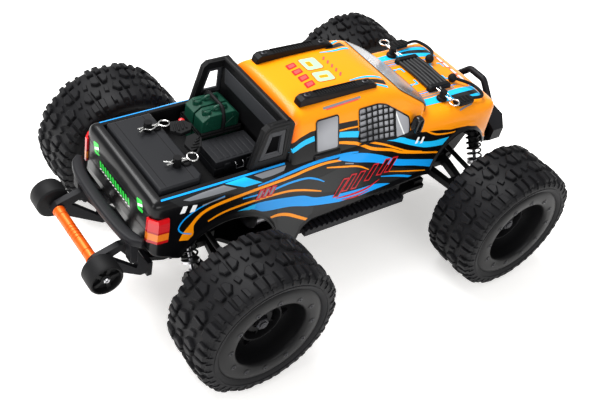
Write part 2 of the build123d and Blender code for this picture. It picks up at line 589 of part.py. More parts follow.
def shell_with_panels():
    """The thin body shell with its openings, and the window panels cut from the same surface."""
    outer = body_volume(0)
    skin = outer - body_volume(SHELL_WALL, open_below=True)
    half = BED_HALF_WIDTH + SHELL_WALL
    tub = block(BED_REAR_X - 1.2, BED_FRONT_X + 2.5, -half, half, BED_FLOOR_Z - SHELL_WALL, 103) & outer
    skin = skin + tub
    skin -= block(BED_REAR_X, BED_FRONT_X, -BED_HALF_WIDTH, BED_HALF_WIDTH, BED_FLOOR_Z, 120)
    skin -= wheel_arch(FRONT_AXLE_X - 7.5, 52, 26.5, 37)
    skin -= wheel_arch(REAR_AXLE_X + 6.5, 44, 36, 35)
    for x, y in (FRONT_POST, REAR_POST):
        for side in (-1, 1):
            skin -= Pos(x, side * y, 100) * Cylinder(POST_HOLE_RADIUS, 60)
    panels = []
    for outline in SIDE_WINDOWS:
        for side in (-1, 1):
            y0, y1 = sorted((side * 20, side * 50))
            panels.append(skin & prism_y(inset(outline, WINDOW_CLEARANCE), y0, y1))
            skin -= prism_y(outline, y0, y1)
    panels.append(skin & prism_x(inset(WINDSHIELD, WINDOW_CLEARANCE), 36, 85))
    skin -= prism_x(WINDSHIELD, 36, 85)
    return skin, panels, outer


def roof_rail(side, outer):
    """Ribbed roof rail with a screw at each end."""
    outline = [(-29, 126), (-30, 134.5), (-27.5, 136.4), (24, 134.6), (28, 132.6), (28, 126)]
    y0, y1 = sorted((side * 19.4, side * 25.8))
    rail = prism_y(outline, y0, y1) - outer
    y2, y3 = sorted((side * 21.6, side * 23.6))
    rail -= block(-17, 14, y2, y3, 134.4, 140)
    return max(rail.solids(), key=lambda s: s.volume)


def roll_bar(outer):
    """Sport bar behind the cab: two windowed wings, a cross bar and the sloped panel."""
    wing_outline = [(-65, 102.4), (-59, 128.6), (-56, 131), (-40, 131), (-38.6, 128.6), (-38.6, 103.2)]
    window = [(-60, 107.5), (-55.5, 126.5), (-44, 126.5), (-43, 107.5)]
    pieces = None
    for side in (-1, 1):
        y0, y1 = sorted((side * 31.0, side * 34.8))
        wing = prism_y(wing_outline, y0, y1) - prism_y(window, y0 - 1, y1 + 1)
        pieces = wing if pieces is None else pieces + wing
    pieces += block(-45, -40.2, -32, 32, 126.8, 131)
    pieces += prism_y([(-45, 128), (-42.5, 128), (-43, 103.5), (-45, 103.5)], -31.5, 31.5)
    cut = pieces - outer
    return max(cut.solids(), key=lambda s: s.volume)


def tail_lamps(outer):
    """Tail lamp lenses wrapped round the rear corners, standing proud of the shell."""
    lenses = []
    proud = body_volume(-1.2) - outer
    for side in (-1, 1):
        y0, y1 = sorted((side * 36.0, side * 50.0))
        lens = proud & block(-132, -119, y0, y1, TAIL_LAMP_Z[0], TAIL_LAMP_Z[1])
        lenses.append(max(lens.solids(), key=lambda s: s.volume))
    return lenses


def door_mirror(side, outer):
    """Door mirror on a short stem."""
    near, far = side * MIRROR_NEAR_Y, side * MIRROR_FAR_Y
    head = prism_z([(51.5, near), (57.5, near), (56.5, far), (52.5, far)], 100.5, 113)
    head += prism_z([(52.5, side * 36), (56, side * 36), (56, far), (52.5, far)], 103, 106)
    trimmed = head - outer
    return max(trimmed.solids(), key=lambda s: s.volume)


# ---- bed cargo, posts, clips, rope ----
def cargo_box():
    """Flat box across the rear of the bed, holed for the rear body posts."""
    outline = [(-120.4, -31.6), (-95.4, -31.6), (-92.4, -28.6), (-92.4, 31.6), (-120.4, 31.6)]
    box = prism_z(outline, BED_FLOOR_Z, 105)
    box = chamfer(box.edges().group_by(Axis.Z)[-1], 1.0)
    for side in (-1, 1):
        box -= Pos(REAR_POST[0], side * REAR_POST[1], 100) * Cylinder(POST_HOLE_RADIUS, 60)
    return box


def jerry_can(y0):
    """One jerry can with its cap and handle."""
    profile = [(-72, BED_FLOOR_Z), (-46.5, BED_FLOOR_Z), (-46.5, 109), (-50.4, 112.5), (-67.4, 112.5),
               (-72, 109)]
    can = prism_y(profile, y0, y0 + 9.6)
    can = chamfer(can.edges().filter_by(Axis.Y), 1.2)
    can += prism_y([(-63, 112), (-53, 112), (-54.5, 115.6), (-61.5, 115.6)], y0 + 3.0, y0 + 6.6)
    can -= bar_y(-58, y0 - 1, y0 + 12, 113.6, 1.2)
    return can + Pos(-67, y0 + 4.8, 112.2) * Cylinder(2.4, 3.0)


def jerry_cans():
    """Two cans side by side and the strap round them."""
    strap = block(-73.6, -45.2, 4.4, 28.8, 98, 102)
    strap -= block(-72.1, -46.4, 5.9, 27.3, 90, 120)
    return [jerry_can(6.4), jerry_can(17.2), strap]


def tool_case():
    """Ribbed tool case with a latch."""
    case = block(-76, -44, -17.5, 3.5, BED_FLOOR_Z, 98.5)
    case = chamfer(case.edges().filter_by(Axis.Z), 2.0)
    for i in range(6):
        case += block(-73 + 4.6 * i, -71.4 + 4.6 * i, -16.5, 2.5, 98.5, 99.5)
    return case + block(-62, -57, -19.0, -17.4, 91.5, 97)


def body_posts():
    """Four posts that the shell hangs on, cross-drilled for the clips."""
    posts = []
    for side in (-1, 1):
        x, y = FRONT_POST[0], side * FRONT_POST[1]
        base = block(x - 4, x + 4, y - 4, y + 4, CHASSIS_TOP_Z, 40)
        post = base + rod((x, y, 39), (x, y, FRONT_POST_TOP_Z), POST_RADIUS)
        post += rod((x, y, 94), (x, y, 96), 5.0)
        posts.append(post - bar_y(x, y - 5, y + 5, 110.6, 1.0))
        x, y = REAR_POST[0], side * REAR_POST[1]
        tower_x = REAR_AXLE_X - TOWER_FAR_X
        post = rod((x, y, 72), (x, y, REAR_POST_TOP_Z), POST_RADIUS)
        post += block(x - 2, tower_x, y - 2, y + 2, 73, 78)
        posts.append(post - bar_x(x - 5, x + 5, y, 108.2, 1.0))
    return posts


def body_clip(origin, along, across):
    """Spring clip: one leg through the post, one beside it, and a ring to pull."""
    ox, oy, oz = origin
    ax, ay = along
    bx, by = across
    wire = 0.7
    leg_in = (ox - ax * 4.4, oy - ay * 4.4, oz)
    ring_at = (ox + ax * 10.5, oy + ay * 10.5, oz)
    leg = rod(leg_in, (ox + ax * 7.2, oy + ay * 7.2, oz), wire)
    side_start = (ox - ax * 4.4 + bx * 4.6, oy - ay * 4.4 + by * 4.6, oz)
    side_mid = (ox + bx * 3.4, oy + by * 3.4, oz)
    side_end = (ox + ax * 8.0 + bx * 2.4, oy + ay * 8.0 + by * 2.4, oz)
    leg += rod(side_start, side_mid, wire)
    leg += rod(side_mid, side_end, wire)
    leg += Pos(*side_mid) * Sphere(wire)
    return leg + Pos(*ring_at) * Torus(3.6, wire)


def body_clips():
    """Two clips on the hood and two on the cargo box."""
    clips = []
    for side in (-1, 1):
        clips.append(body_clip((FRONT_POST[0], side * FRONT_POST[1], 110.6), (0, side), (1, 0)))
        clips.append(body_clip((REAR_POST[0], side * REAR_POST[1], 108.2), (1, 0), (0, -side)))
    return clips


def clip_leashes():
    """Rubber pull tabs, the hood leashes and their end balls."""
    pieces = []
    for side in (-1, 1):
        y0, y1 = sorted((side * 30.5, side * 38.5))
        tab = block(94.0, 109, y0, y1, 105.6, 108.4)
        ball = Pos(111, side * 12, 108.0) * Sphere(3.2)
        route = [(108, side * 34, 107.0), (118, side * 34.5, 106.2), (122.5, side * 22, 105.2),
                 (112, side * 12.5, 107.8)]
        leash = tube(route, 1.2, 4.5)
        pieces.append(tab + ball + leash)
    rear_left = prism_z([(-90, 9), (-86, 16.5), (-77.6, 12), (-81.5, 4.5)], 106, 108.6)
    rear_right = prism_z([(-90, -12.5), (-81.5, -9), (-78.5, -0.5), (-84, 1.5), (-90, -5)], 106, 108.6)
    return pieces + [rear_left, rear_right]


def hood_rope(outer):
    """Rope strands laid across the hood between two brackets."""
    pieces = []
    for i in range(6):
        strand = bar_y(87.2 + 3.1 * i, -14.4, 15.4, 108.3, 1.45)
        pieces.append(strand)
    for y in (-18.0, 15.5):
        bracket = block(85.5, 104.5, y, y + 3.5, 104, 110.2) - outer
        pieces.append(max(bracket.solids(), key=lambda s: s.volume))
    return pieces


# ---- build every node ----
def build():
    for corner, x, side, ahead in CORNERS:
        keep("tyre_" + corner, tyre(x, side))
        keep("wheel_rim_" + corner, wheel_rim(x, side))
        keep("lower_arm_" + corner, lower_arm(x, side, ahead))
        keep("upper_link_" + corner, upper_link(x, side))
        keep("shock_body_" + corner, shock_body(x, side, ahead))
        keep("shock_rod_" + corner, shock_rod(x, side, ahead))
        if ahead > 0:
            keep("caster_block_" + corner, caster_block(x, side))
            keep("steering_knuckle_" + corner, steering_knuckle(x, side))
        else:
            keep("rear_hub_carrier_" + corner, rear_hub_carrier(x, side))
    keep("shock_springs", [shock_spring(x, side, ahead) for _, x, side, ahead in CORNERS])
    keep("chassis_tub", chassis_tub())
    keep("gearbox_housings", gearbox_housing(FRONT_AXLE_X), gearbox_housing(REAR_AXLE_X))
    keep("shock_towers", shock_tower(FRONT_AXLE_X, 1), shock_tower(REAR_AXLE_X, -1))
    keep("drive_motor", drive_motor())
    keep("drive_shaft", drive_shaft())
    keep("battery_pack", battery_pack())
    keep("control_box", control_box())
    keep("steering_servo", steering_servo())
    keep("servo_horn", servo_horn())
    keep("steering_link", steering_link())
    keep("front_bumper", front_bumper())
    keep("rear_bumper", rear_bumper())
    keep("wheelie_arms", wheelie_arm(1), wheelie_arm(-1))
    keep("wheelie_tube", wheelie_tube())
    keep("wheelie_wheels", wheelie_wheels())
    keep("side_steps", side_step(1), side_step(-1))
    shell, panels, outer = shell_with_panels()
    keep("body_shell", shell)
    keep("window_panels", panels)
    keep("roof_rails", roof_rail(1, outer), roof_rail(-1, outer))
    keep("roll_bar", roll_bar(outer))
    keep("lamp_lenses", tail_lamps(outer))
    keep("door_mirrors", door_mirror(1, outer), door_mirror(-1, outer))
    keep("cargo_box", cargo_box())
    keep("jerry_cans", jerry_cans())
    keep("tool_case", tool_case())
    keep("body_posts", body_posts())
    keep("body_clips", body_clips())
    keep("clip_leashes", clip_leashes())
    keep("hood_rope", hood_rope(outer))


build()
os.makedirs("parts", exist_ok=True)
for node, solid in PARTS.items():
    export_step(solid, f"parts/{node}.step")
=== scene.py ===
import json
import math

import bmesh
import bpy
import numpy as np
from mathutils import Matrix, Vector


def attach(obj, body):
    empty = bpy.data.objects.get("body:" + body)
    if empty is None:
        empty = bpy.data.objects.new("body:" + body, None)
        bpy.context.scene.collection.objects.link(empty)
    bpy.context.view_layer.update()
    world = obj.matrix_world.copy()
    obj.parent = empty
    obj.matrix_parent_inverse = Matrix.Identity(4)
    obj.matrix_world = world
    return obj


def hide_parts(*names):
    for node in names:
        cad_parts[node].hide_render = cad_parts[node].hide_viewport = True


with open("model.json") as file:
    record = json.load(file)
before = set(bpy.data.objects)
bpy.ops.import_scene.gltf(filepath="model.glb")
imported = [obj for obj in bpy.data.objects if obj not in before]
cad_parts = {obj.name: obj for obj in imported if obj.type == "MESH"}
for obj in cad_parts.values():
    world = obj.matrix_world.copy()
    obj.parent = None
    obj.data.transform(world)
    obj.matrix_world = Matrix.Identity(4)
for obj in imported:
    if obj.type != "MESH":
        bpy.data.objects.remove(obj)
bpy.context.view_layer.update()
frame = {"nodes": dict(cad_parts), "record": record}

# Radio-controlled monster truck. Sizes below are in millimetres in the frame of the CAD part;
# meshes are scaled to metres when they are made. +X forward, +Y left, +Z up.
MM = 0.001
WHEELS = (("fl", 110.5, 1, 1), ("fr", 110.5, -1, 1), ("rl", -85.5, 1, -1), ("rr", -85.5, -1, -1))
AXLE_Z = 46.0
HALF_TRACK = 85.5
TURN = 2 * math.pi
ACROSS = (0, 1, 0)
UPWARD = (0, 0, 1)
WHEELIE_X, WHEELIE_Z = -152.8, 57.7
SCREW_CIRCLE, RING_SCREWS = 27.0, 12
SPRING_PITCH, SPRING_RADIUS, SPRING_WIRE, SPRING_START = 3.8, 4.7, 0.62, 7.0


# ---------------------------------------------------------------- materials
def material(name, color, rough=0.5, metallic=0.0, coat=0.0, grain=0.0, grain_mm=1.0, specular=0.5,
             vary=0.0):
    """A Principled material with an optional moulded grain and a slow change of roughness."""
    mat = bpy.data.materials.new(name)
    mat.use_nodes = True
    nodes, links = mat.node_tree.nodes, mat.node_tree.links
    shader = nodes["Principled BSDF"]
    shader.inputs["Base Color"].default_value = (*color, 1.0)
    shader.inputs["Roughness"].default_value = rough
    shader.inputs["Metallic"].default_value = metallic
    shader.inputs["Specular IOR Level"].default_value = specular
    shader.inputs["Coat Weight"].default_value = coat
    shader.inputs["Coat Roughness"].default_value = 0.06
    place = nodes.new("ShaderNodeTexCoord")
    if grain > 0:
        noise = nodes.new("ShaderNodeTexNoise")
        noise.inputs["Scale"].default_value = 1.0 / (grain_mm * MM)
        noise.inputs["Detail"].default_value = 3.0
        bump = nodes.new("ShaderNodeBump")
        bump.inputs["Strength"].default_value = grain
        bump.inputs["Distance"].default_value = 0.1 * MM
        links.new(place.outputs["Object"], noise.inputs["Vector"])
        links.new(noise.outputs["Fac"], bump.inputs["Height"])
        links.new(bump.outputs["Normal"], shader.inputs["Normal"])
    if vary > 0:
        slow = nodes.new("ShaderNodeTexNoise")
        slow.inputs["Scale"].default_value = 60.0
        spread = nodes.new("ShaderNodeMapRange")
        spread.inputs["To Min"].default_value = rough - vary
        spread.inputs["To Max"].default_value = rough + vary
        links.new(place.outputs["Object"], slow.inputs["Vector"])
        links.new(slow.outputs["Fac"], spread.inputs["Value"])
        links.new(spread.outputs["Result"], shader.inputs["Roughness"])
    return mat


ORANGE = (1.0, 0.31, 0.003)
BLUE = (0.006, 0.33, 0.86)
CYAN = (0.012, 0.52, 0.95)
BLACK = (0.0025, 0.0025, 0.003)

PAINT_EDGE = ((-41, 139), (-40, 113), (-33, 116.5), (-25, 118.5), (-4, 118.5), (10, 117.5),
              (11.5, 106.2), (50, 106.2), (51.5, 101), (60, 98.5), (63, 97.2), (80, 94.6), (88.5, 92.6),
              (104, 91.8), (113, 89.3), (120, 83), (123, 77.5), (128, 74), (140, 74))


def body_paint():
    """Gloss paint: orange above a line that follows the body, black below it, turning red-orange towards the
    cab's rear edge.
    """
    mat = material("body_paint", BLACK, rough=0.3, coat=0.12, specular=0.16)
    nodes, links = mat.node_tree.nodes, mat.node_tree.links
    shader = nodes["Principled BSDF"]
    place = nodes.new("ShaderNodeTexCoord")
    axes = nodes.new("ShaderNodeSeparateXYZ")
    links.new(place.outputs["Object"], axes.inputs["Vector"])
    along = nodes.new("ShaderNodeMapRange")
    along.inputs["From Min"].default_value = -140 * MM
    along.inputs["From Max"].default_value = 140 * MM
    links.new(axes.outputs["X"], along.inputs["Value"])
    curve = nodes.new("ShaderNodeFloatCurve")
    line = curve.mapping.curves[0]
    points = [((x + 140) / 280, z / 140) for x, z in PAINT_EDGE]
    line.points[0].location = (0.0, points[0][1])
    line.points[1].location = points[-1]
    for p in points[:-1]:
        line.points.new(*p)
    for p in line.points:
        p.handle_type = "VECTOR"
    curve.mapping.update()
    links.new(along.outputs["Result"], curve.inputs["Value"])
    height = nodes.new("ShaderNodeMath")
    height.operation = "MULTIPLY"
    height.inputs[1].default_value = 1.0 / (140 * MM)
    links.new(axes.outputs["Z"], height.inputs[0])
    above = nodes.new("ShaderNodeMath")
    above.operation = "SUBTRACT"
    links.new(height.outputs["Value"], above.inputs[0])
    links.new(curve.outputs["Value"], above.inputs[1])
    edge = nodes.new("ShaderNodeMapRange")
    edge.inputs["From Min"].default_value = -0.0008
    edge.inputs["From Max"].default_value = 0.0008
    links.new(above.outputs["Value"], edge.inputs["Value"])
    # Between x -31 and -40 mm the orange turns red-orange towards the cab's rear edge.
    fade = nodes.new("ShaderNodeMapRange")
    fade.inputs["From Min"].default_value = -40 * MM
    fade.inputs["From Max"].default_value = -31 * MM
    links.new(axes.outputs["X"], fade.inputs["Value"])
    warm = nodes.new("ShaderNodeMix")
    warm.data_type = "RGBA"
    warm.inputs["A"].default_value = (0.9, 0.09, 0.002, 1.0)
    warm.inputs["B"].default_value = (*ORANGE, 1.0)
    links.new(fade.outputs["Result"], warm.inputs["Factor"])
    paint = nodes.new("ShaderNodeMix")
    paint.data_type = "RGBA"
    paint.inputs["A"].default_value = (*BLACK, 1.0)
    links.new(edge.outputs["Result"], paint.inputs["Factor"])
    links.new(warm.outputs["Result"], paint.inputs["B"])
    links.new(paint.outputs["Result"], shader.inputs["Base Color"])
    return mat


def glass_paint():
    """Silver-grey window film with soft slanted streaks."""
    mat = material("window_film", (0.40, 0.41, 0.43), rough=0.22, coat=0.15, specular=0.12)
    nodes, links = mat.node_tree.nodes, mat.node_tree.links
    place = nodes.new("ShaderNodeTexCoord")
    turn = nodes.new("ShaderNodeMapping")
    turn.inputs["Rotation"].default_value = (0.0, 0.5, 0.6)
    wave = nodes.new("ShaderNodeTexNoise")
    wave.inputs["Scale"].default_value = 38.0
    wave.inputs["Detail"].default_value = 0.0
    tone = nodes.new("ShaderNodeValToRGB")
    tone.color_ramp.elements[0].position = 0.38
    tone.color_ramp.elements[0].color = (0.12, 0.123, 0.132, 1.0)
    tone.color_ramp.elements[1].position = 0.64
    tone.color_ramp.elements[1].color = (0.36, 0.365, 0.39, 1.0)
    links.new(place.outputs["Object"], turn.inputs["Vector"])
    links.new(turn.outputs["Vector"], wave.inputs["Vector"])
    links.new(wave.outputs["Fac"], tone.inputs["Fac"])
    links.new(tone.outputs["Color"], nodes["Principled BSDF"].inputs["Base Color"])
    return mat


def lamp_paint():
    """Red lamp lens with an amber band in its lower half."""
    mat = material("lamp_lens", (0.55, 0.01, 0.015), rough=0.2, coat=0.4, specular=0.3)
    nodes, links = mat.node_tree.nodes, mat.node_tree.links
    place = nodes.new("ShaderNodeTexCoord")
    axes = nodes.new("ShaderNodeSeparateXYZ")
    tone = nodes.new("ShaderNodeValToRGB")
    tone.color_ramp.interpolation = "CONSTANT"
    height = nodes.new("ShaderNodeMapRange")
    height.inputs["From Min"].default_value = 76.5 * MM
    height.inputs["From Max"].default_value = 93 * MM
    stops = ((0.0, (0.42, 0.006, 0.008)), (0.12, (0.70, 0.17, 0.012)), (0.42, (0.34, 0.005, 0.007)),
             (0.50, (0.52, 0.018, 0.022)), (0.86, (0.60, 0.006, 0.010)))
    ramp = tone.color_ramp.elements
    ramp[0].position, ramp[0].color = stops[0][0], (*stops[0][1], 1.0)
    ramp[1].position, ramp[1].color = stops[-1][0], (*stops[-1][1], 1.0)
    for where, color in stops[1:-1]:
        ramp.new(where).color = (*color, 1.0)
    links.new(place.outputs["Object"], axes.inputs["Vector"])
    links.new(axes.outputs["Z"], height.inputs["Value"])
    links.new(height.outputs["Result"], tone.inputs["Fac"])
    links.new(tone.outputs["Color"], nodes["Principled BSDF"].inputs["Base Color"])
    return mat


# name: colour, roughness, metallic, coat, grain, grain size in mm, specular, change of roughness
FINISHES = {
    "black_plastic": ((0.0045, 0.0045, 0.005), 0.45, 0.0, 0.0, 0.25, 0.7, 0.14, 0.06),
    "bumper_plastic": ((0.008, 0.008, 0.010), 0.5, 0.0, 0.0, 0.3, 0.6, 0.16, 0.05),
    "tyre_rubber": ((0.0062, 0.0062, 0.0072), 0.55, 0.0, 0.0, 0.3, 0.8, 0.14, 0.08),
    "rim_plastic": ((0.0045, 0.0045, 0.005), 0.4, 0.0, 0.0, 0.15, 0.6, 0.15, 0.05),
    "nylon": ((0.0035, 0.0035, 0.004), 0.5, 0.0, 0.0, 0.2, 0.6, 0.2, 0.0),
    "steel": ((0.52, 0.52, 0.54), 0.3, 1.0, 0.0, 0.1, 0.4, 0.5, 0.0),
    "dark_steel": ((0.05, 0.05, 0.055), 0.42, 0.8, 0.0, 0.0, 1.0, 0.3, 0.0),
    "black_steel": ((0.006, 0.006, 0.007), 0.35, 0.0, 0.0, 0.0, 1.0, 0.4, 0.0),
    "orange_aluminium": ((0.90, 0.115, 0.005), 0.34, 0.4, 0.0, 0.0, 1.0, 0.3, 0.0),
    "rubber": ((0.006, 0.006, 0.0065), 0.55, 0.0, 0.0, 0.3, 0.6, 0.14, 0.0),
    "can_plastic": ((0.003, 0.045, 0.026), 0.4, 0.0, 0.0, 0.15, 0.6, 0.3, 0.0),
    "clip_wire": ((0.82, 0.82, 0.80), 0.16, 1.0, 0.0, 0.0, 1.0, 0.5, 0.0),
    "rope": ((0.007, 0.007, 0.008), 0.5, 0.0, 0.0, 0.5, 0.5, 0.3, 0.0),
    "motor_can": ((0.42, 0.42, 0.44), 0.3, 1.0, 0.0, 0.1, 0.4, 0.5, 0.0),
    "battery_wrap": ((0.01, 0.02, 0.06), 0.4, 0.0, 0.0, 0.0, 1.0, 0.3, 0.0),
    "case_plastic": ((0.012, 0.0125, 0.0145), 0.48, 0.0, 0.0, 0.3, 0.7, 0.16, 0.06),
    "shock_plastic": ((0.004, 0.004, 0.0045), 0.4, 0.0, 0.0, 0.0, 1.0, 0.3, 0.0),
    "frame_grey": ((0.030, 0.031, 0.035), 0.5, 0.0, 0.0, 0.3, 0.6, 0.3, 0.0),
    "gloss_black": ((0.0025, 0.0025, 0.003), 0.25, 0.0, 0.2, 0.0, 1.0, 0.3, 0.0),
}
MAT = {"body_paint": body_paint(), "window_film": glass_paint(), "lamp_plastic": lamp_paint()}
for finish, settings in FINISHES.items():
    MAT[finish] = material(finish, *settings)
PRINTS = {"black": BLACK, "orange": ORANGE, "blue": BLUE, "cyan": CYAN, "grey": (0.012, 0.013, 0.014),
          "silver": (0.22, 0.23, 0.25), "white": (0.85, 0.86, 0.86), "red": (0.58, 0.014, 0.022),
          "pink": (0.80, 0.09, 0.08), "mint": (0.42, 0.86, 0.42), "green": (0.03, 0.60, 0.06)}
for ink, shade in PRINTS.items():
    MAT["print_" + ink] = material("print_" + ink, shade, rough=0.3, coat=0.12, specular=0.16)


# ---------------------------------------------------------------- mesh building
class Piece:
    """Collects closed and open surfaces in millimetres and makes one mesh object of them."""

    def __init__(self):
        self.points = []
        self.faces = []

    def add(self, points, faces):
        first = len(self.points)
        self.points += [tuple(float(c) for c in p) for p in points]
        self.faces += [tuple(i + first for i in face) for face in faces]

    def rings(self, rows, wrap=False, ends=False, loop=False):
        """Rows of points joined into a skin. wrap joins the ends of a row, loop the last row to the first."""
        count = len(rows[0])
        faces = []
        for r in range(len(rows) if loop else len(rows) - 1):
            a, b = r * count, (r + 1) % len(rows) * count
            for c in range(count if wrap else count - 1):
                d = (c + 1) % count
                faces.append((a + c, a + d, b + d, b + c))
        if ends:
            faces.append(tuple(range(count))[::-1])
            faces.append(tuple((len(rows) - 1) * count + i for i in range(count)))
        self.add([p for row in rows for p in row], faces)

    def prism(self, outline, shift):
        """A closed outline carried along a shift."""
        shift = np.array(shift, float)
        rows = [[np.array(p, float) for p in outline], [np.array(p, float) + shift for p in outline]]
        self.rings(rows, wrap=True, ends=True)

    def box(self, x0, x1, y0, y1, z0, z1):
        self.prism([(x0, y0, z0), (x1, y0, z0), (x1, y1, z0), (x0, y1, z0)], (0, 0, z1 - z0))

    def turned(self, profile, centre, axis, count=48, ends=False, start=0.0):
        """A (radius, distance) profile turned round an axis through centre."""
        u, v, w = axes_for(axis)
        rows = []
        for radius, along in profile:
            base = np.array(centre, float) + w * along
            angles = [start + TURN * k / count for k in range(count)]
            rows.append([base + radius * (u * math.cos(a) + v * math.sin(a)) for a in angles])
        self.rings(rows, wrap=True, ends=ends)

    def axle(self, profile, centre, side, count):
        """A (radius, distance outwards) profile turned round an axle line across the truck."""
        self.turned([(r, side * d) for r, d in profile], centre, ACROSS, count)

    def tube(self, path, radius, count=10, closed=False):
        """A round wire along a path."""
        path = [np.array(p, float) for p in path]
        rows = []
        last = None
        for i, p in enumerate(path):
            before = path[i - 1] if (i > 0 or closed) else path[i]
            after = path[(i + 1) % len(path)] if (i < len(path) - 1 or closed) else path[i]
            t = (after - before) / max(np.linalg.norm(after - before), 1e-9)
            u = np.cross(t, (0, 0, 1.0)) if last is None else last - t * np.dot(last, t)
            if np.linalg.norm(u) < 1e-6:
                u = np.cross(t, (1.0, 0, 0))
            u = u / np.linalg.norm(u)
            last = u
            v = np.cross(t, u)
            rows.append([p + radius * (u * math.cos(TURN * k / count)
                                       + v * math.sin(TURN * k / count)) for k in range(count)])
        self.rings(rows, wrap=True, ends=not closed, loop=closed)

    def make(self, name, mat, body="root", sharp=32.0, bevel=0.0, stands_for=(), solid=True, slot=None):
        mesh = bpy.data.meshes.new(name)
        mesh.from_pydata([(x * MM, y * MM, z * MM) for x, y, z in self.points], [], self.faces)
        if solid:
            work = bmesh.new()
            work.from_mesh(mesh)
            bmesh.ops.recalc_face_normals(work, faces=work.faces)
            work.to_mesh(mesh)
            work.free()
        mesh.materials.append(MAT[mat])
        obj = bpy.data.objects.new(name, mesh)
        bpy.context.scene.collection.objects.link(obj)
        if bevel > 0:
            round_edges(obj, bevel, 2)
        mesh.shade_smooth()
        mesh.set_sharp_from_angle(angle=math.radians(sharp))
        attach(obj, body)
        if stands_for:
            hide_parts(*stands_for)
        return obj


def axes_for(axis):
    w = np.array(axis, float) / np.linalg.norm(axis)
    u = np.cross(w, (0, 0, 1.0))
    if np.linalg.norm(u) < 1e-6:
        u = np.array((1.0, 0, 0))
    u = u / np.linalg.norm(u)
    return u, np.cross(w, u), w


def round_edges(obj, width, segments):
    """A bevel on every edge sharper than 30 degrees."""
    bevel = obj.modifiers.new("rounded", "BEVEL")
    bevel.width = width * MM
    bevel.segments = segments
    bevel.limit_method = "ANGLE"
    bevel.angle_limit = math.radians(30)
    bevel.use_clamp_overlap = True
    bevel.harden_normals = False


def smooth_path(points, step):
    """A Catmull-Rom curve through points of any dimension, sampled about every step."""
    pts = [np.array(p, float) for p in points]
    pts = [2 * pts[0] - pts[1]] + pts + [2 * pts[-1] - pts[-2]]
    out = []
    for i in range(1, len(pts) - 2):
        p0, p1, p2, p3 = pts[i - 1:i + 3]
        count = max(1, int(np.linalg.norm((p2 - p1)[:2]) / step))
        for k in range(count):
            t = k / count
            out.append(0.5 * (2 * p1 + (p2 - p0) * t + (2 * p0 - 5 * p1 + 4 * p2 - p3) * t * t
                              + (3 * p1 - p0 - 3 * p2 + p3) * t ** 3))
    out.append(pts[-2])
    return out


# ---------------------------------------------------------------- body surface
def softened(points, radius, step=1.5):
    """A closed outline sampled evenly, with its corners rounded."""
    pts = np.array(points, float)
    ring = []
    for i in range(len(pts)):
        a, b = pts[i], pts[(i + 1) % len(pts)]
        count = max(1, int(np.linalg.norm(b - a) / step))
        ring += [a + (b - a) * k / count for k in range(count)]
    ring = np.array(ring)
    reach = int(3 * radius / step) + 1
    weights = np.exp(-0.5 * (np.arange(-reach, reach + 1) * step / max(radius, 1e-6)) ** 2)
    weights /= weights.sum()
    return sum(w * np.roll(ring, -k, axis=0) for w, k in zip(weights, range(-reach, reach + 1)))


def depth_map(points, radius, low, high, step=1.0):
    """Depth inside an outline as a function of its two coordinates, read from a grid."""
    ring = softened(points, radius)
    us = np.arange(low[0], high[0] + step, step)
    vs = np.arange(low[1], high[1] + step, step)
    gu, gv = np.meshgrid(us, vs, indexing="ij")
    near = np.full(gu.shape, 1e9)
    inside = np.zeros(gu.shape, bool)
    for i in range(len(ring)):
        (ax, ay), (bx, by) = ring[i], ring[(i + 1) % len(ring)]
        dx, dy = bx - ax, by - ay
        t = np.clip(((gu - ax) * dx + (gv - ay) * dy) / (dx * dx + dy * dy + 1e-12), 0, 1)
        near = np.minimum(near, (gu - ax - t * dx) ** 2 + (gv - ay - t * dy) ** 2)
        if ay != by:
            crosses = ((ay > gv) != (by > gv)) & (gu < dx * (gv - ay) / dy + ax)
            inside ^= crosses
    grid = np.where(inside, 1, -1) * np.sqrt(near)

    def depth(u, v):
        fu = np.clip((u - us[0]) / step, 0, len(us) - 1.001)
        fv = np.clip((v - vs[0]) / step, 0, len(vs) - 1.001)
        iu, iv = fu.astype(int), fv.astype(int)
        tu, tv = fu - iu, fv - iv
        return ((grid[iu, iv] * (1 - tu) + grid[iu + 1, iv] * tu) * (1 - tv)
                + (grid[iu, iv + 1] * (1 - tu) + grid[iu + 1, iv + 1] * tu) * tv)

    return depth


def soft_min(a, b, k):
    h = np.clip(0.5 + 0.5 * (b - a) / k, 0, 1)
    return b * (1 - h) + a * h - k * h * (1 - h)


LOW_SIDE = [(-128, 0), (-128.8, 71), (-128.8, 98), (-126.8, 102.4), (-40, 103.6), (30, 106.4),
            (70, 107.8), (100, 106.8), (124, 103), (134.5, 99), (138.6, 90), (138.6, 80), (138, 0)]
LOW_SECTION = [(46, 0), (46, 49), (43.4, 70), (42.4, 88), (41.2, 96), (39.2, 101.5), (35.0, 105.2),
               (20, 107.4), (0, 108.2)]
LOW_PLAN = [(-134, 0), (-134, 31.4), (-125.2, 41.9), (-60, 46.4), (105, 46.4), (118, 43.4),
            (127.3, 40.9), (131.9, 36.3), (136, 26.2), (138.6, 12.2), (139.2, 0)]
TOP_SIDE = [(-40.6, 60), (-40.0, 96), (-38.0, 126), (-33.5, 131.4), (-10, 133.8), (12, 134.2),
            (32, 131.8), (43, 127.6), (77, 107.6), (92, 98.8), (92, 60)]
TOP_SECTION = [(44, 60), (40.0, 96), (38.6, 103), (32.0, 125.2), (28.9, 130), (20, 132.8), (0, 134.0)]
TOP_PLAN = [(-70, 0), (-70, 44), (48, 44), (62, 38.6), (72, 30), (79, 16), (81, 0)]


def both_halves(half, flip):
    """A half outline closed by its mirror image; flip picks which coordinate is mirrored."""
    if flip == 0:
        return list(half) + [(-a, b) for a, b in reversed(half) if a > 0]
    return list(half) + [(a, -b) for a, b in reversed(half) if b > 0]


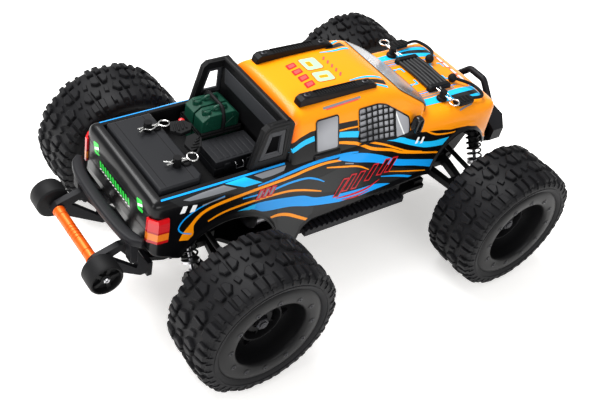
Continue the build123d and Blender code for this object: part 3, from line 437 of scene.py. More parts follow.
low_side = depth_map(LOW_SIDE, 1.8, (-135, 30), (145, 115))
low_section = depth_map(both_halves(LOW_SECTION, 0), 2.0, (0, 30), (55, 115))
low_plan = depth_map(both_halves(LOW_PLAN, 1), 3.0, (-140, 0), (145, 55))
top_side = depth_map(TOP_SIDE, 2.4, (-50, 80), (100, 140))
top_section = depth_map(both_halves(TOP_SECTION, 0), 2.0, (0, 80), (50, 140))
top_plan = depth_map(both_halves(TOP_PLAN, 1), 4.0, (-50, 0), (90, 50))


def low_depth(x, y, z):
    """Depth inside the lower body."""
    y = np.abs(y)
    return soft_min(soft_min(low_side(x, z), low_plan(x, y), 3.0), low_section(y, z), 3.0)


def top_depth(x, y, z):
    """Depth inside the cab."""
    y = np.abs(y)
    return soft_min(soft_min(top_side(x, z), top_plan(x, y), 3.0), top_section(y, z), 4.0)


def shoot(field, origin, direction, reach=90.0):
    """Where each ray leaves a body: the last distance at which it is still inside."""
    origin, direction = np.broadcast_arrays(np.asarray(origin, float), np.asarray(direction, float))
    low, high = np.zeros(origin.shape[:-1]), np.full(origin.shape[:-1], reach)
    for _ in range(20):
        mid = (low + high) / 2
        at = origin + direction * mid[..., None]
        inside = field(at[..., 0], at[..., 1], at[..., 2]) > 0
        low, high = np.where(inside, mid, low), np.where(inside, high, mid)
    return origin + direction * low[..., None]


ARCHES = ((103.0, 52.0, 26.5, 37.0), (-79.0, 44.0, 36.0, 35.0))
LIP = ((-129, 70), (-126.5, 67), (-50, 40), (-29.5, 40), (-27, 49.5), (-20, 56.5), (76, 62),
       (127, 71.5), (136.5, 76), (139, 80))


def lip_height(x):
    """Height of the body's lower edge, wheel arches included."""
    base = np.interp(x, [p[0] for p in LIP], [p[1] for p in LIP])
    for cx, cz, half, tall in ARCHES:
        t = np.clip(1 - ((x - cx) / half) ** 2, 0, None)
        base = np.where(t > 0, np.maximum(base, cz + tall * np.sqrt(t)), base)
    return base


BED = (-121.5, -41.5, 33.2, 88.0)


def lower_body():
    """The lower body as one skin: lips, sides, shoulders, hood or bed."""
    rear = shoot(low_depth, (-100, 0, 85), (-1, 0, 0))[0]
    nose = shoot(low_depth, (100, 0, 85), (1, 0, 0))[0]
    xs = [rear + d for d in (0.03, 0.15, 0.4, 0.8, 1.4, 2.2, 3.2, 4.4, 5.8)]
    xs += [nose - d for d in (0.03, 0.15, 0.4, 0.8, 1.4, 2.2, 3.2, 4.4, 5.8)]
    xs += list(np.arange(rear + 7, nose - 7, 2.5))
    for cx, _, half, _ in ARCHES:
        xs += [cx + half * math.cos(math.radians(a)) for a in np.arange(0, 181, 4.5)]
    xs = sorted(xs)
    xs = [x for i, x in enumerate(xs) if i == 0 or x - xs[i - 1] > 0.1]
    xs = sorted(xs + [BED[0] - 0.01, BED[0] + 0.01, BED[1] - 0.01, BED[1] + 0.01])
    rows = []
    for x in xs:
        in_bed = BED[0] < x < BED[1]
        lip = float(lip_height(np.array(x)))
        ceiling = shoot(low_depth, (x, 0.0, 81.0), UPWARD)[2]
        middle = min(92.0, ceiling - 3.0)
        lip = min(lip, middle - 2)
        zs = lip + (middle - lip) * np.linspace(0, 1, 15) ** 1.2
        side = shoot(low_depth, np.stack([np.full(15, x), np.zeros(15), zs], 1), ACROSS)
        near_arch = any(abs(x - cx) < half * 1.04 for cx, _, half, _ in ARCHES)
        flare = (1.5 if near_arch else 0.7) * np.exp(-((zs - lip) / 2.6) ** 2)
        side[:, 1] += flare
        pivot = min(32.0, side[-1, 1] - 4.0)
        angles = np.radians(np.linspace(4, 88, 20))
        fan = shoot(low_depth, (x, pivot, middle),
                    np.stack([np.zeros(20), np.cos(angles), np.sin(angles)], 1))
        if in_bed:
            fan[:, 1] = np.maximum(fan[:, 1], BED[2] + 0.5)
            rail = float(fan[-1, 2])
            inner = [(x, BED[2] + 0.1, rail - 0.3), (x, BED[2], rail - 1.2), (x, BED[2], 97),
                     (x, BED[2], 90), (x, BED[2] - 0.4, 88.6), (x, BED[2] - 1.6, BED[3])]
            inner += [(x, y, BED[3]) for y in (26, 20, 14, 8, 4, 0)]
            inner = np.array(inner)
        else:
            ys = np.linspace(pivot * 0.96, 0, 12)
            inner = shoot(low_depth, np.stack([np.full(12, x), ys, np.full(12, middle)], 1), UPWARD)
        half = np.concatenate([side, fan, inner])
        other = half[:-1][::-1] * np.array((1, -1, 1))
        rows.append(np.concatenate([half, other]))
    piece = Piece()
    piece.rings(rows)
    count = len(rows[0])
    piece.faces.append(tuple(range(count))[::-1])
    piece.faces.append(tuple((len(rows) - 1) * count + i for i in range(count)))
    obj = piece.make("body_lower", "body_paint", solid=False, sharp=28, stands_for=("body_shell",))
    mesh = obj.data
    mesh.materials.append(MAT["black_plastic"])
    for poly in mesh.polygons:
        x, y, z = poly.center / MM
        if BED[0] - 0.2 < x < BED[1] + 0.2 and abs(y) < BED[2] + 0.2 and z < 102.6:
            poly.material_index = 1
    wall = obj.modifiers.new("wall", "SOLIDIFY")
    wall.thickness = 1.2 * MM
    wall.offset = -1.0
    wall.material_offset = 1
    wall.use_even_offset = False


def cab():
    """The cab as one skin: a ring of rays at each station, closed by a quarter turn at each end."""
    low, high = -33.0, 58.0
    height = 104.0
    turns = np.radians(np.concatenate([np.linspace(-89.5, -60, 12), np.linspace(-58, 0, 34)]))
    stations = [(low, t) for t in turns]
    stations += [(x, 0.0) for x in np.arange(low + 2, high, 2.0)]
    stations += [(high, t) for t in np.radians(np.linspace(0, 89.5, 30))]
    phis = np.radians(np.linspace(-14, 194, 105))
    rows = []
    for x, turn in stations:
        direction = np.stack([np.full(len(phis), math.sin(turn)), math.cos(turn) * np.cos(phis),
                              math.cos(turn) * np.sin(phis)], 1)
        rows.append(shoot(top_depth, (x, 0.0, height), direction))
    piece = Piece()
    piece.rings(rows)
    piece.make("body_cab", "body_paint", solid=False, sharp=40)


lower_body()
cab()


# ---------------------------------------------------------------- prints laid on the body
def on_side(side):
    """Points (x, z) laid on one flank."""
    def lay(flat, lift):
        flat = np.asarray(flat, float)
        start = np.stack([flat[:, 0], np.zeros(len(flat)), flat[:, 1]], 1)
        y = np.maximum(shoot(low_depth, start, ACROSS)[:, 1], shoot(top_depth, start, ACROSS)[:, 1])
        return np.stack([flat[:, 0], side * (y + lift), flat[:, 1]], 1)
    return lay


def on_top(flat, lift):
    """Points (x, y) laid on the hood or the roof."""
    flat = np.asarray(flat, float)
    start = np.stack([flat[:, 0], flat[:, 1], np.full(len(flat), 97.0)], 1)
    z = np.maximum(shoot(low_depth, start, UPWARD)[:, 2], shoot(top_depth, start, UPWARD)[:, 2])
    return np.stack([flat[:, 0], flat[:, 1], z + lift], 1)


def on_screen(flat, lift):
    """Points (y, z) laid on the windscreen."""
    flat = np.asarray(flat, float)
    start = np.stack([np.full(len(flat), 20.0), flat[:, 0], flat[:, 1]], 1)
    hit = shoot(top_depth, start, (1, 0, 0))
    return hit + np.array((0.5, 0, 0.85)) * lift


def on_nose(flat, lift):
    """Points (y, z) laid on the front of the lower body."""
    flat = np.asarray(flat, float)
    start = np.stack([np.full(len(flat), 100.0), flat[:, 0], flat[:, 1]], 1)
    return shoot(low_depth, start, (1, 0, 0)) + np.array((1.0, 0, 0)) * lift


def on_tail(flat, lift):
    """Points (y, z) laid on the tailgate."""
    flat = np.asarray(flat, float)
    start = np.stack([np.full(len(flat), -123.0), flat[:, 0], flat[:, 1]], 1)
    return shoot(low_depth, start, (-1, 0, 0)) + np.array((-1.0, 0, 0)) * lift


def clipped(points, columns, rows):
    """The quads of a grid that stay above the body's lower edge."""
    faces = []
    ok = points[:, 2] > lip_height(points[:, 0]) + 0.25
    for r in range(rows - 1):
        for c in range(columns - 1):
            quad = (r * columns + c, r * columns + c + 1, (r + 1) * columns + c + 1,
                    (r + 1) * columns + c)
            if all(ok[list(quad)]):
                faces.append(quad)
    return faces


def sideways(ahead):
    """Unit vectors at right angles to the directions given."""
    ahead = ahead / np.maximum(np.linalg.norm(ahead, axis=1), 1e-9)[:, None]
    return np.stack([-ahead[:, 1], ahead[:, 0]], 1)


def stroke(piece, path, width, lay, lift=0.12):
    """A line of one width, or of the widths given as third coordinates, laid on the body."""
    line = np.array(smooth_path([tuple(p) if len(p) == 3 else (*p, width) for p in path], 1.6))
    across = sideways(np.gradient(line[:, :2], axis=0))
    flat = np.concatenate([line[:, None, :2] + across[:, None, :] * line[:, None, 2:3] * t
                           for t in (-0.5, 0.0, 0.5)], axis=1).reshape(-1, 2)
    points = lay(flat, lift)
    piece.add(points, clipped(points, 3, len(line)))


def band(piece, upper, lower, lay, lift=0.12, columns=7):
    """The area between an upper and a lower line, each given from the same end."""
    tops = np.array(smooth_path(upper, 1.5))
    lows = np.array(smooth_path(lower, 1.5))
    count = max(len(tops), len(lows))
    share = np.linspace(0, 1, count)
    tops = np.stack([np.interp(share, np.linspace(0, 1, len(tops)), tops[:, k]) for k in (0, 1)], 1)
    lows = np.stack([np.interp(share, np.linspace(0, 1, len(lows)), lows[:, k]) for k in (0, 1)], 1)
    mix = np.linspace(0, 1, columns)[None, :, None]
    flat = (tops[:, None, :] * (1 - mix) + lows[:, None, :] * mix).reshape(-1, 2)
    points = lay(flat, lift)
    piece.add(points, clipped(points, columns, count))


def corners_rounded(outline, radius, steps=4):
    """An outline with each corner replaced by a small curve."""
    pts = [np.array(p, float) for p in outline]
    out = []
    for i, p in enumerate(pts):
        a, b = pts[i - 1] - p, pts[(i + 1) % len(pts)] - p
        la, lb = np.linalg.norm(a), np.linalg.norm(b)
        r = min(radius, la * 0.45, lb * 0.45)
        p0, p2 = p + a / la * r, p + b / lb * r
        for k in range(steps + 1):
            t = k / steps
            out.append((1 - t) ** 2 * p0 + 2 * t * (1 - t) * p + t * t * p2)
    return out


def evenly_spaced(outline, radius, step=2.0):
    """A closed outline with small rounded corners, as points about a step apart."""
    edge = corners_rounded(outline, radius)
    dense = []
    for i, p in enumerate(edge):
        q = edge[(i + 1) % len(edge)]
        count = max(1, int(np.linalg.norm(q - p) / step))
        dense += [p + (q - p) * k / count for k in range(count)]
    return np.array(dense)


def patch(piece, outline, lay, lift=0.12, radius=1.5, rings=8):
    """A filled outline laid on the body."""
    dense = evenly_spaced(outline, radius)
    centre = dense.mean(0)
    rows = [lay(centre + (dense - centre) * s, lift) for s in np.linspace(1, 0.02, rings)]
    piece.rings(rows, wrap=True)
    piece.faces.append(tuple(len(piece.points) - len(dense) + i for i in range(len(dense))))


def frame_line(piece, outline, width, lay, lift, radius=1.5):
    """A closed line round an outline."""
    dense = evenly_spaced(outline, radius)
    across = sideways(np.roll(dense, -1, 0) - np.roll(dense, 1, 0))
    rows = [lay(dense + across * width * t, lift) for t in (-0.5, 0.0, 0.5)]
    piece.rings(rows, wrap=True)


QUARTER = [(-21.2, 124.0), (-5.0, 124.2), (-4.6, 104.2), (-20.6, 104.6)]
DOOR_GLASS = [(10.4, 123.8), (25.5, 123.9), (31.5, 122.2), (38, 118.2), (50.8, 110.2), (52, 104),
              (52, 99.6), (39, 98.8), (12.2, 103.0)]
SCREEN = [(35.6, 107.8), (28.8, 126.6), (-28.8, 126.6), (-35.6, 107.8)]


def windows():
    glass = Piece()
    rubber = Piece()
    net = Piece()
    shine = Piece()
    for side in (-1, 1):
        lay = on_side(side)
        for outline in (QUARTER, DOOR_GLASS):
            patch(glass, outline, lay, 0.35, 1.8)
            frame_line(rubber, outline, 0.9, lay, 0.45, 1.8)
        for i in range(6):
            x = 16.6 + 4.4 * i
            top = np.interp(x, [10, 25.5, 31.5, 38, 50], [123.8, 123.9, 122.2, 118.2, 110.2])
            low = np.interp(x, [12, 39], [103, 98.8])
            stroke(net, [(x - 1.2, top), (x, (top + low) / 2 + 1), (x + 1.4, low)], 1.15, lay, 0.9)
        stroke(net, [(38.2, 118.2), (38.8, 109), (40.4, 98.9)], 1.9, lay, 1.0)
        for i in range(6):
            z = 120.6 - 3.75 * i
            slope = 1.6 * i / 5
            end = min(38.8 + 0.2 * i, np.interp(z, [110.2, 118.2, 122.2], [50.8, 38, 31.5]))
            stroke(net, [(11.2, z), (24, z + 0.5 - slope * 0.5), (end, z - slope)], 1.1, lay, 1.1)
        stroke(shine, [(38.9, 116.8), (43.5, 107.5), (47.6, 99.8)], 1.0, lay, 0.5)
    patch(glass, SCREEN, on_screen, 0.35, 2.5, rings=12)
    frame_line(rubber, SCREEN, 0.8, on_screen, 0.45, 2.5)
    glass.make("window_glass", "window_film", solid=False, stands_for=("window_panels",))
    rubber.make("window_seals", "gloss_black", solid=False)
    net.make("window_nets", "rubber", solid=False)
    shine.make("window_shine", "print_white", solid=False)


def side_livery(side, prints):
    """Waves of blue, cyan and orange on a black flank."""
    lay = on_side(side)
    blue, cyan, orange, grey, silver, red, black = (prints[k] for k in (
        "blue", "cyan", "orange", "grey", "silver", "red", "black"))
    band(grey, [(-60, 92), (-40, 93), (-20, 88), (0, 90), (20, 84), (45, 76), (66, 68)],
         [(-60, 85.5), (-40, 83.5), (-20, 77), (0, 72), (20, 69), (45, 64), (66, 58)], lay, 0.06)
    band(grey, [(-46, 74), (-30, 72), (-18, 66)], [(-42, 44), (-33, 43), (-20, 50)], lay, 0.06)
    stroke(orange, [(-107.5, 72.5, 8.5), (-106, 78, 7.0), (-104.5, 82.5, 3.2), (-101, 87.2, 2.6),
                    (-96, 90.3, 2.2), (-87, 92.2, 2.0), (-70, 93.4, 1.9), (-58, 94.0, 1.9),
                    (-38, 95.0, 1.9), (-28, 96.2, 1.8), (-14.5, 96.8, 1.6), (-2, 95.6, 1.4)], 2.0, lay)
    stroke(blue, [(-104, 76.2, 0.8), (-110, 79, 0.9), (-112.6, 83, 1.0), (-110, 88, 1.0),
                  (-104, 92.0, 0.9), (-96, 94.4, 0.7), (-84, 96, 0.6)], 0.9, lay)
    stroke(blue, [(-62, 95.8, 0.8), (-50, 96.6, 1.4), (-34, 98.2, 1.8), (-20, 99.0, 1.8),
                  (-7, 98.8, 1.8), (4, 98.3, 1.4), (11, 97.4, 0.8)], 1.6, lay)
    stroke(blue, [(-72, 90.4, 0.8), (-55, 89.6, 1.3), (-40, 91, 1.5), (-28, 90.6, 1.4),
                  (-20, 87.8, 1.2), (-13, 83.5, 0.6)], 1.3, lay)
    stroke(orange, [(-94, 82, 1.2), (-85, 85, 1.5), (-72, 86.2, 1.6), (-55, 86.2, 1.6),
                    (-40, 85.2, 1.6), (-30, 82.7, 1.5), (-23, 80.2, 1.3), (-14, 76.6, 0.8)], 1.5, lay)
    band(blue, [(-80, 81.6), (-63, 83.7), (-50, 82.4), (-37, 80), (-27, 77.5), (-17, 72.8), (0, 69.6),
                (17, 68), (30, 67.6), (47, 62.8), (60, 57.5)],
                [(-76, 80.6), (-66, 80.2), (-55, 75.5), (-37, 72.6), (-23, 68.2), (-10, 65.2),
                 (3, 63.0), (17, 62.5), (30, 58.4), (46, 57.6), (58, 57.0)], lay)
    band(cyan, [(-80, 81.4), (-72, 82.9), (-62, 83.5)], [(-77, 80.8), (-70, 80.8), (-63, 80.6)], lay,
         0.2)
    stroke(orange, [(-54, 68.6, 1.2), (-45, 69, 2.1), (-37, 66.6, 2.2), (-27, 60.8, 2.0),
                    (-20, 57.2, 1.8), (-8, 56.2, 1.0)], 2.0, lay)
    band(blue, [(-2, 98.4), (14, 96.0), (29, 90.5), (45, 82.7), (62, 77.2), (81, 71.4)],
         [(-5, 96.4), (9, 91), (25, 86), (45, 77.5), (62, 72.2), (79, 66)], lay, 0.14)
    band(cyan, [(23, 102.4), (33.5, 100.2), (46, 98.0), (52, 95.4), (63, 90.9), (75, 88.0), (92, 87.2)],
         [(25, 101.6), (36, 98.2), (44, 95.2), (54, 90.6), (67, 85.2), (75, 83.4), (86, 81.9)], lay,
         0.14)
    stroke(orange, [(12.5, 101.4, 1.6), (16, 99.7, 1.8), (23, 96.4, 2.0), (38, 91.6, 1.9),
                    (47, 87.4, 1.8), (62, 82.6, 1.6), (83, 76.6, 1.2)], 1.8, lay, 0.2)
    stroke(orange, [(16.5, 102.2, 1.0), (30, 97.6, 1.3), (41, 92.4, 1.2), (52, 87, 1.0),
                    (66, 82.4, 0.7)], 1.2, lay, 0.22)
    stroke(orange, [(-13, 93.6, 0.8), (-3, 91.2, 1.2), (12, 87.2, 1.2), (22, 81.6, 0.6)], 1.1, lay, 0.2)
    stroke(blue, [(34, 72.4, 0.6), (53, 66.9, 1.6), (74, 58.6, 1.0)], 1.5, lay, 0.2)
    stroke(orange, [(40, 74.4, 0.5), (56, 69.6, 1.0), (76, 64.4, 0.6)], 0.9, lay, 0.2)
    for x, z, tall in ((-4, 68, 13), (2.4, 70.5, 12), (9.4, 70, 12.5), (19.5, 73, 12), (29, 74.5, 11.5),
                       (35.5, 74.6, 11)):
        lean = tall * 0.48
        slant = [(x, z), (x + lean, z + tall), (x + lean + 4.6, z + tall - 0.6), (x + 4.6, z - 0.6)]
        patch(red, slant, lay, 0.26, 0.3, rings=3)
        patch(black, [(x + 1.2, z + 0.9), (x + lean + 0.5, z + tall - 1.1),
                      (x + lean + 3.4, z + tall - 1.5), (x + 3.9, z + 0.4)], lay, 0.34, 0.3, rings=3)
    stroke(red, [(-1, 66.6, 0.5), (12, 65.6, 1.6), (24, 66.6, 1.6), (33, 70.5, 0.5)], 1.4, lay, 0.26)
    stroke(red, [(4, 63.8, 0.4), (15, 63.0, 1.2), (26, 64.4, 0.4)], 1.0, lay, 0.26)
    for k in range(3):
        x = -63.5 + 4.2 * k
        patch(red, [(x, 86.6), (x + 3.2, 93.2), (x + 6.6, 92.6), (x + 3.4, 86.0)], lay, 0.26, 0.3,
              rings=3)
        patch(silver, [(x + 1.3, 87.6), (x + 3.8, 92.0), (x + 5.2, 91.8), (x + 3.0, 87.4)], lay, 0.34,
              0.3, rings=3)
    for k, x in enumerate((-112.6, -106.6)):
        patch(prints["white"], [(x, 93.4 - k), (x + 2.2, 97.6 - k), (x + 5.0, 97.0 - k),
                                (x + 3.2, 93.2 - k)], lay, 0.26, 0.3, rings=3)
    stroke(silver, [(-98.5, 94.6), (-91, 95.2), (-84, 95.6)], 0.7, lay, 0.26)
    stroke(silver, [(1.0, 92.6), (8.0, 90.4)], 0.9, lay, 0.26)
    for k in range(2):
        patch(prints["white"], [(57.6 + 4.4 * k, 90.6 - k), (59.4 + 4.4 * k, 95 - k),
                                (61.2 + 4.4 * k, 94.6 - k), (59.8 + 4.4 * k, 90.4 - k)], lay, 0.3, 0.3,
                                rings=3)
    stroke(cyan, [(-39.6, 108.6, 2.2), (-34, 111.4, 3.0), (-29, 113.0, 3.2), (-22.2, 113.9, 3.2)], 3.0,
           lay)
    stroke(cyan, [(-4, 111.6, 3.2), (3, 110.2, 3.6), (11, 108.4, 3.8)], 3.4, lay)
    stroke(orange, [(-4, 114.2), (4, 113.9), (10.6, 113.4)], 1.0, lay, 0.2)
    stroke(orange, [(-4.2, 106.8, 1.6), (0, 105.9, 1.8), (5, 104.4, 2.0), (9, 103.2, 2.0),
                    (12.5, 101.4, 1.8)], 1.8, lay, 0.2)
    stroke(orange, [(60, 100.4, 0.4), (66, 97.6, 1.0), (76, 92.6, 1.2), (90, 90.2, 1.0),
                    (100, 90.6, 0.5)], 1.0, lay, 0.2)


def shoulder_livery(side, prints):
    """Slanted tone strips along the rounded shoulder beside the bed."""
    def lay(flat, lift):
        flat = np.asarray(flat, float)
        angle = np.radians(flat[:, 1])
        start = np.stack([flat[:, 0], np.full(len(flat), 32.0), np.full(len(flat), 92.0)], 1)
        away = np.stack([np.zeros(len(flat)), np.cos(angle), np.sin(angle)], 1)
        return (shoot(low_depth, start, away) + away * lift) * np.array((1, side, 1))
    silver, grey, cyan, blue = (prints[k] for k in ("silver", "grey", "cyan", "blue"))
    band(grey, [(-118, 60), (-100, 62), (-42, 62)], [(-112, 34), (-98, 30), (-46, 36)], lay, 0.1)
    band(silver, [(-110, 50), (-98, 55), (-84, 57)], [(-106, 42), (-94, 38), (-76, 37)], lay, 0.16)
    band(silver, [(-64, 58), (-56, 59), (-41.8, 59)], [(-59, 42), (-52, 42), (-44, 46)], lay, 0.16)
    band(cyan, [(-83, 60), (-77, 61), (-70, 62)], [(-71, 33), (-65, 32), (-59, 31)], lay, 0.2)
    stroke(blue, [(-122, 67), (-100, 66), (-70, 65.5), (-42, 65)], 6.0, lay, 0.2)


def top_livery(prints):
    """Panels and lines on the hood and the roof."""
    blue, cyan, orange, grey, silver, red, white, mint, pink = (prints[k] for k in (
        "blue", "cyan", "orange", "grey", "silver", "red", "white", "mint", "pink"))
    for side in (-1, 1):
        def lay(flat, lift, s=side):
            return on_top(np.asarray(flat, float) * np.array((1, s)), lift)
        band(cyan, [(70, 28), (84, 28.5), (98, 30), (112, 32), (124, 31)],
             [(72, 22), (84, 22.5), (98, 21), (112, 19.5), (125, 19)], lay, 0.14)
        band(grey, [(98, 28), (110, 28.5), (123, 27)], [(98, 25.4), (110, 24.4), (124, 23)], lay, 0.2)
        band(silver, [(74, 21.6), (90, 21.2), (108, 19)], [(75, 18.6), (90, 18.2), (108, 17)], lay,
             0.14)
        stroke(blue, [(74, 17.2), (90, 16.9), (112, 15.6)], 0.9, lay, 0.14)
        stroke(orange, [(76, 20), (92, 19.6), (106, 18.2)], 0.7, lay, 0.2)
        stroke(silver, [(76, 15.4), (92, 15.1), (108, 14.2)], 0.7, lay, 0.14)
        stroke(cyan, [(14, 15.6, 0.8), (25, 15.0, 1.5), (38, 17.0, 2.0)], 1.5, lay, 0.14)
        stroke(cyan, [(18, 20.4, 0.8), (26, 22.2, 1.4), (36, 26.4, 1.8)], 1.5, lay, 0.14)
        band(grey, [(20, 18.2), (27, 17.6), (38, 20)], [(20, 18.8), (27, 20.8), (36.5, 24.4)], lay,
             0.12)
        stroke(silver, [(-15, 29.2), (13, 28.6)], 1.0, lay, 0.14)
        stroke(pink, [(-13, 29.9), (11, 29.3)], 0.5, lay, 0.2)
        stroke(silver, [(97, 37.4), (109, 35.8)], 0.9, lay, 0.14)
    for x0, x1, y0, y1 in ((77.5, 84.6, -7, 11), (109.5, 120.5, -8, 10)):
        for cx, sx in ((x0, 1), (x1, -1)):
            for cy, sy in ((y0, 1), (y1, -1)):
                stroke(cyan, [(cx, cy), (cx + 3.2 * sx, cy)], 1.4, on_top, 0.14)
                stroke(cyan, [(cx, cy), (cx, cy + 4.2 * sy)], 1.4, on_top, 0.14)
    stroke(pink, [(77.0, -6), (77.0, 9)], 1.0, on_top, 0.16)
    for y in (-15.5, -8.2, -0.6, 7.4, 14.2):
        patch(white, [(122.6, y - 3), (125.6, y - 2.4), (125.8, y + 3.2), (122.9, y + 2.6)], on_top,
              0.2, 0.6, rings=3)
        frame_line(red, [(122.3, y - 3.3), (125.9, y - 2.7), (126.1, y + 3.5), (122.6, y + 2.9)], 0.5,
                   on_top, 0.16, 0.6)
    for k, y in enumerate((-9.6, -3.2, 3.4, 9.8)):
        patch(red, [(-15.6, y - 3.4), (-8.6, y - 2.0), (-8.2, y + 2.4), (-15.2, y + 1.4)], on_top, 0.16,
              0.8, rings=3)
        patch(pink, [(-14.4, y - 2.4), (-9.6, y - 1.3), (-9.2, y + 1.5), (-14.0, y + 0.6)], on_top,
              0.24, 0.6, rings=3)
    for outline in ([(-5.6, -10.4), (6.6, -11.4), (7.0, -2.6), (-5.0, -1.4)],
                    [(-5.0, 1.4), (6.4, 0.8), (6.8, 12.6), (-4.6, 13.4)]):
        frame_line(red, outline, 0.8, on_top, 0.16, 2.0)
        patch(mint, outline, on_top, 0.2, 2.0, rings=4)
    patch(orange, [(-2.6, -7.6), (3.4, -8.4), (3.8, -5.8), (-2.2, -5.2)], on_top, 0.28, 0.8, rings=3)
    patch(orange, [(-2.2, 4.6), (1.2, 4.2), (1.6, 9.4), (-1.8, 9.8)], on_top, 0.28, 0.8, rings=3)
    for y in (-8, -3.6, 0.8, 5.2, 9.6):
        stroke(pink, [(11.0, y - 1.6), (13.6, y + 1.2)], 1.1, on_top, 0.16)


def end_livery(prints):
    """Generic marks on the tailgate, and the unseen nose with grille and lamps."""
    green, white, silver, grey, black = (prints[k] for k in ("green", "white", "silver", "grey",
            "black"))
    for k in range(12):
        y = -16.4 + 3.1 * k
        patch(green, [(y, 84.6), (y + 1.3, 88.8), (y + 3.1, 88.4), (y + 2.2, 84.2)], on_tail, 0.14, 0.4,
              rings=3)
        stroke(white, [(y + 0.1, 83.9), (y + 2.3, 83.1)], 0.8, on_tail, 0.18)
    for y in (-27, 25):
        patch(green, [(y - 4, 91), (y - 1.5, 98), (y + 4.5, 96.5), (y + 2.2, 89.5)], on_tail, 0.12, 1.4,
              rings=4)
        stroke(white, [(y - 2.6, 95.6), (y + 2.4, 92.6)], 1.6, on_tail, 0.18)
    stroke(grey, [(-36, 93.6), (0, 91.4), (36, 93.6)], 1.0, on_tail, 0.14)
    stroke(grey, [(-36, 81.0), (0, 79.4), (36, 81.0)], 0.8, on_tail, 0.14)
    patch(black, [(-19, 82.5), (-19, 94.5), (19, 94.5), (19, 82.5)], on_nose, 0.2, 2.0, rings=8)
    for z in (85, 87.6, 90.2, 92.8):
        stroke(grey, [(-17.5, z), (0, z), (17.5, z)], 0.9, on_nose, 0.4)
    for side in (-1, 1):
        lamp = [(side * 22, 84.5), (side * 22.5, 94.5), (side * 31, 93), (side * 31.5, 86)]
        frame_line(black, lamp, 1.2, on_nose, 0.22, 1.6)
        patch(silver, lamp, on_nose, 0.2, 1.6, rings=6)


def livery():
    prints = {name: Piece() for name in PRINTS}
    for side in (-1, 1):
        side_livery(side, prints)
        shoulder_livery(side, prints)
    top_livery(prints)
    end_livery(prints)
    for name, piece in prints.items():
        piece.make("print_" + name, "print_" + name, solid=False, sharp=60)


windows()
livery()


# ---------------------------------------------------------------- wheels
def wheel_point(x, side, angle, radius, across):
    """A point on a wheel: angle round the axle, radius, distance outwards from the wheel's middle."""
    return (x + radius * math.sin(angle), side * (HALF_TRACK + across),
            AXLE_Z + radius * math.cos(angle))


LUG_FORMS = (
    ((-6.2, 4.2), (-3.4, 1.2), (-0.6, 1.0), (-0.6, 9.4), (-4.2, 9.6)),
    ((0.6, 1.0), (3.8, 1.4), (6.0, 5.4), (3.4, 9.6), (0.6, 9.4)),
    ((-5.2, 11.4), (-0.8, 11.0), (-0.4, 19.5), (-4.2, 19.6)),
    ((0.8, 11.0), (4.8, 11.8), (5.2, 19.2), (1.0, 19.6)),
    ((7.4, 10.6), (10.4, 12.0), (10.8, 18.2), (8.2, 18.4)),
    ((7.6, 3.2), (10.4, 2.0), (11.6, 6.6), (8.8, 7.8)),
)
LUG_HEIGHTS = (45.9, 45.9, 45.7, 45.4, 44.9, 44.9)
REPEATS = 14


def crown(across):
    """Radius of the carcass at a distance from the tyre's middle."""
    return float(np.interp(abs(across), [0, 8, 14, 17, 19, 20], [43.5, 43.5, 43.2, 42.6, 41.7, 40.2]))


def tyre(corner, x, side):
    piece = Piece()
    profile = [(33.0, -16.5), (33.2, -18.2), (34.4, -19.4), (36.6, -20.2), (38.6, -20.4), (40.4, -20.0),
               (41.7, -19.0), (42.6, -17.2), (43.2, -14), (43.5, -8), (43.5, 0)]
    profile += [(r, -a) for r, a in reversed(profile[:-1])]
    piece.turned([(r, side * a) for r, a in profile], (x, side * HALF_TRACK, AXLE_Z), ACROSS, 120)
    for r, a in ((40.9, 19.75), (37.2, 20.35)):
        ring = [wheel_point(x, side, TURN * k / 90, r, a) for k in range(90)]
        piece.tube(ring, 0.28, 6, closed=True)
    for half in (-1, 1):
        for k in range(REPEATS):
            centre = TURN / REPEATS * (k + (0.5 if half > 0 else 0.0))
            for form, height in zip(LUG_FORMS, LUG_HEIGHTS):
                middle = np.mean(form, axis=0)
                levels = []
                for grow, drop in ((1.02, None), (0.88, 0.45), (0.72, 0.0)):
                    ring = []
                    for s, a in form:
                        s = middle[0] + (s - middle[0]) * grow
                        a = middle[1] + (a - middle[1]) * grow
                        base = crown(a)
                        top = min(height, base + 2.9) - 0.6 * max(0.0, (a - 12) / 8) ** 2
                        radius = base - 0.5 if drop is None else top - drop
                        ring.append(wheel_point(x, side, centre + half * s / 44.0, radius, half * a))
                    levels.append(ring)
                piece.rings(levels, wrap=True, ends=True)
            for shift in (-2.8, 2.9, 9.4):
                rib = []
                for a, r in ((18.6, 42.9), (19.9, 41.9), (20.7, 39.9), (20.6, 38.6)):
                    for w in (-0.9, 0.9):
                        rib.append(wheel_point(x, side, centre + half * (shift + w) / 42.0, r,
                                               half * a))
                inner = [wheel_point(x, side, centre + half * (shift + w) / 42.0, 38.6,
                                     half * 19.2) for w in (-0.9, 0.9)]
                rows = [rib[i:i + 2] + [inner[1], inner[0]] for i in range(0, 8, 2)]
                piece.rings(rows, wrap=True, ends=True)
    piece.make("tyre_tread_" + corner, "tyre_rubber", "wheel_" + corner, sharp=30,
               stands_for=("tyre_" + corner,))


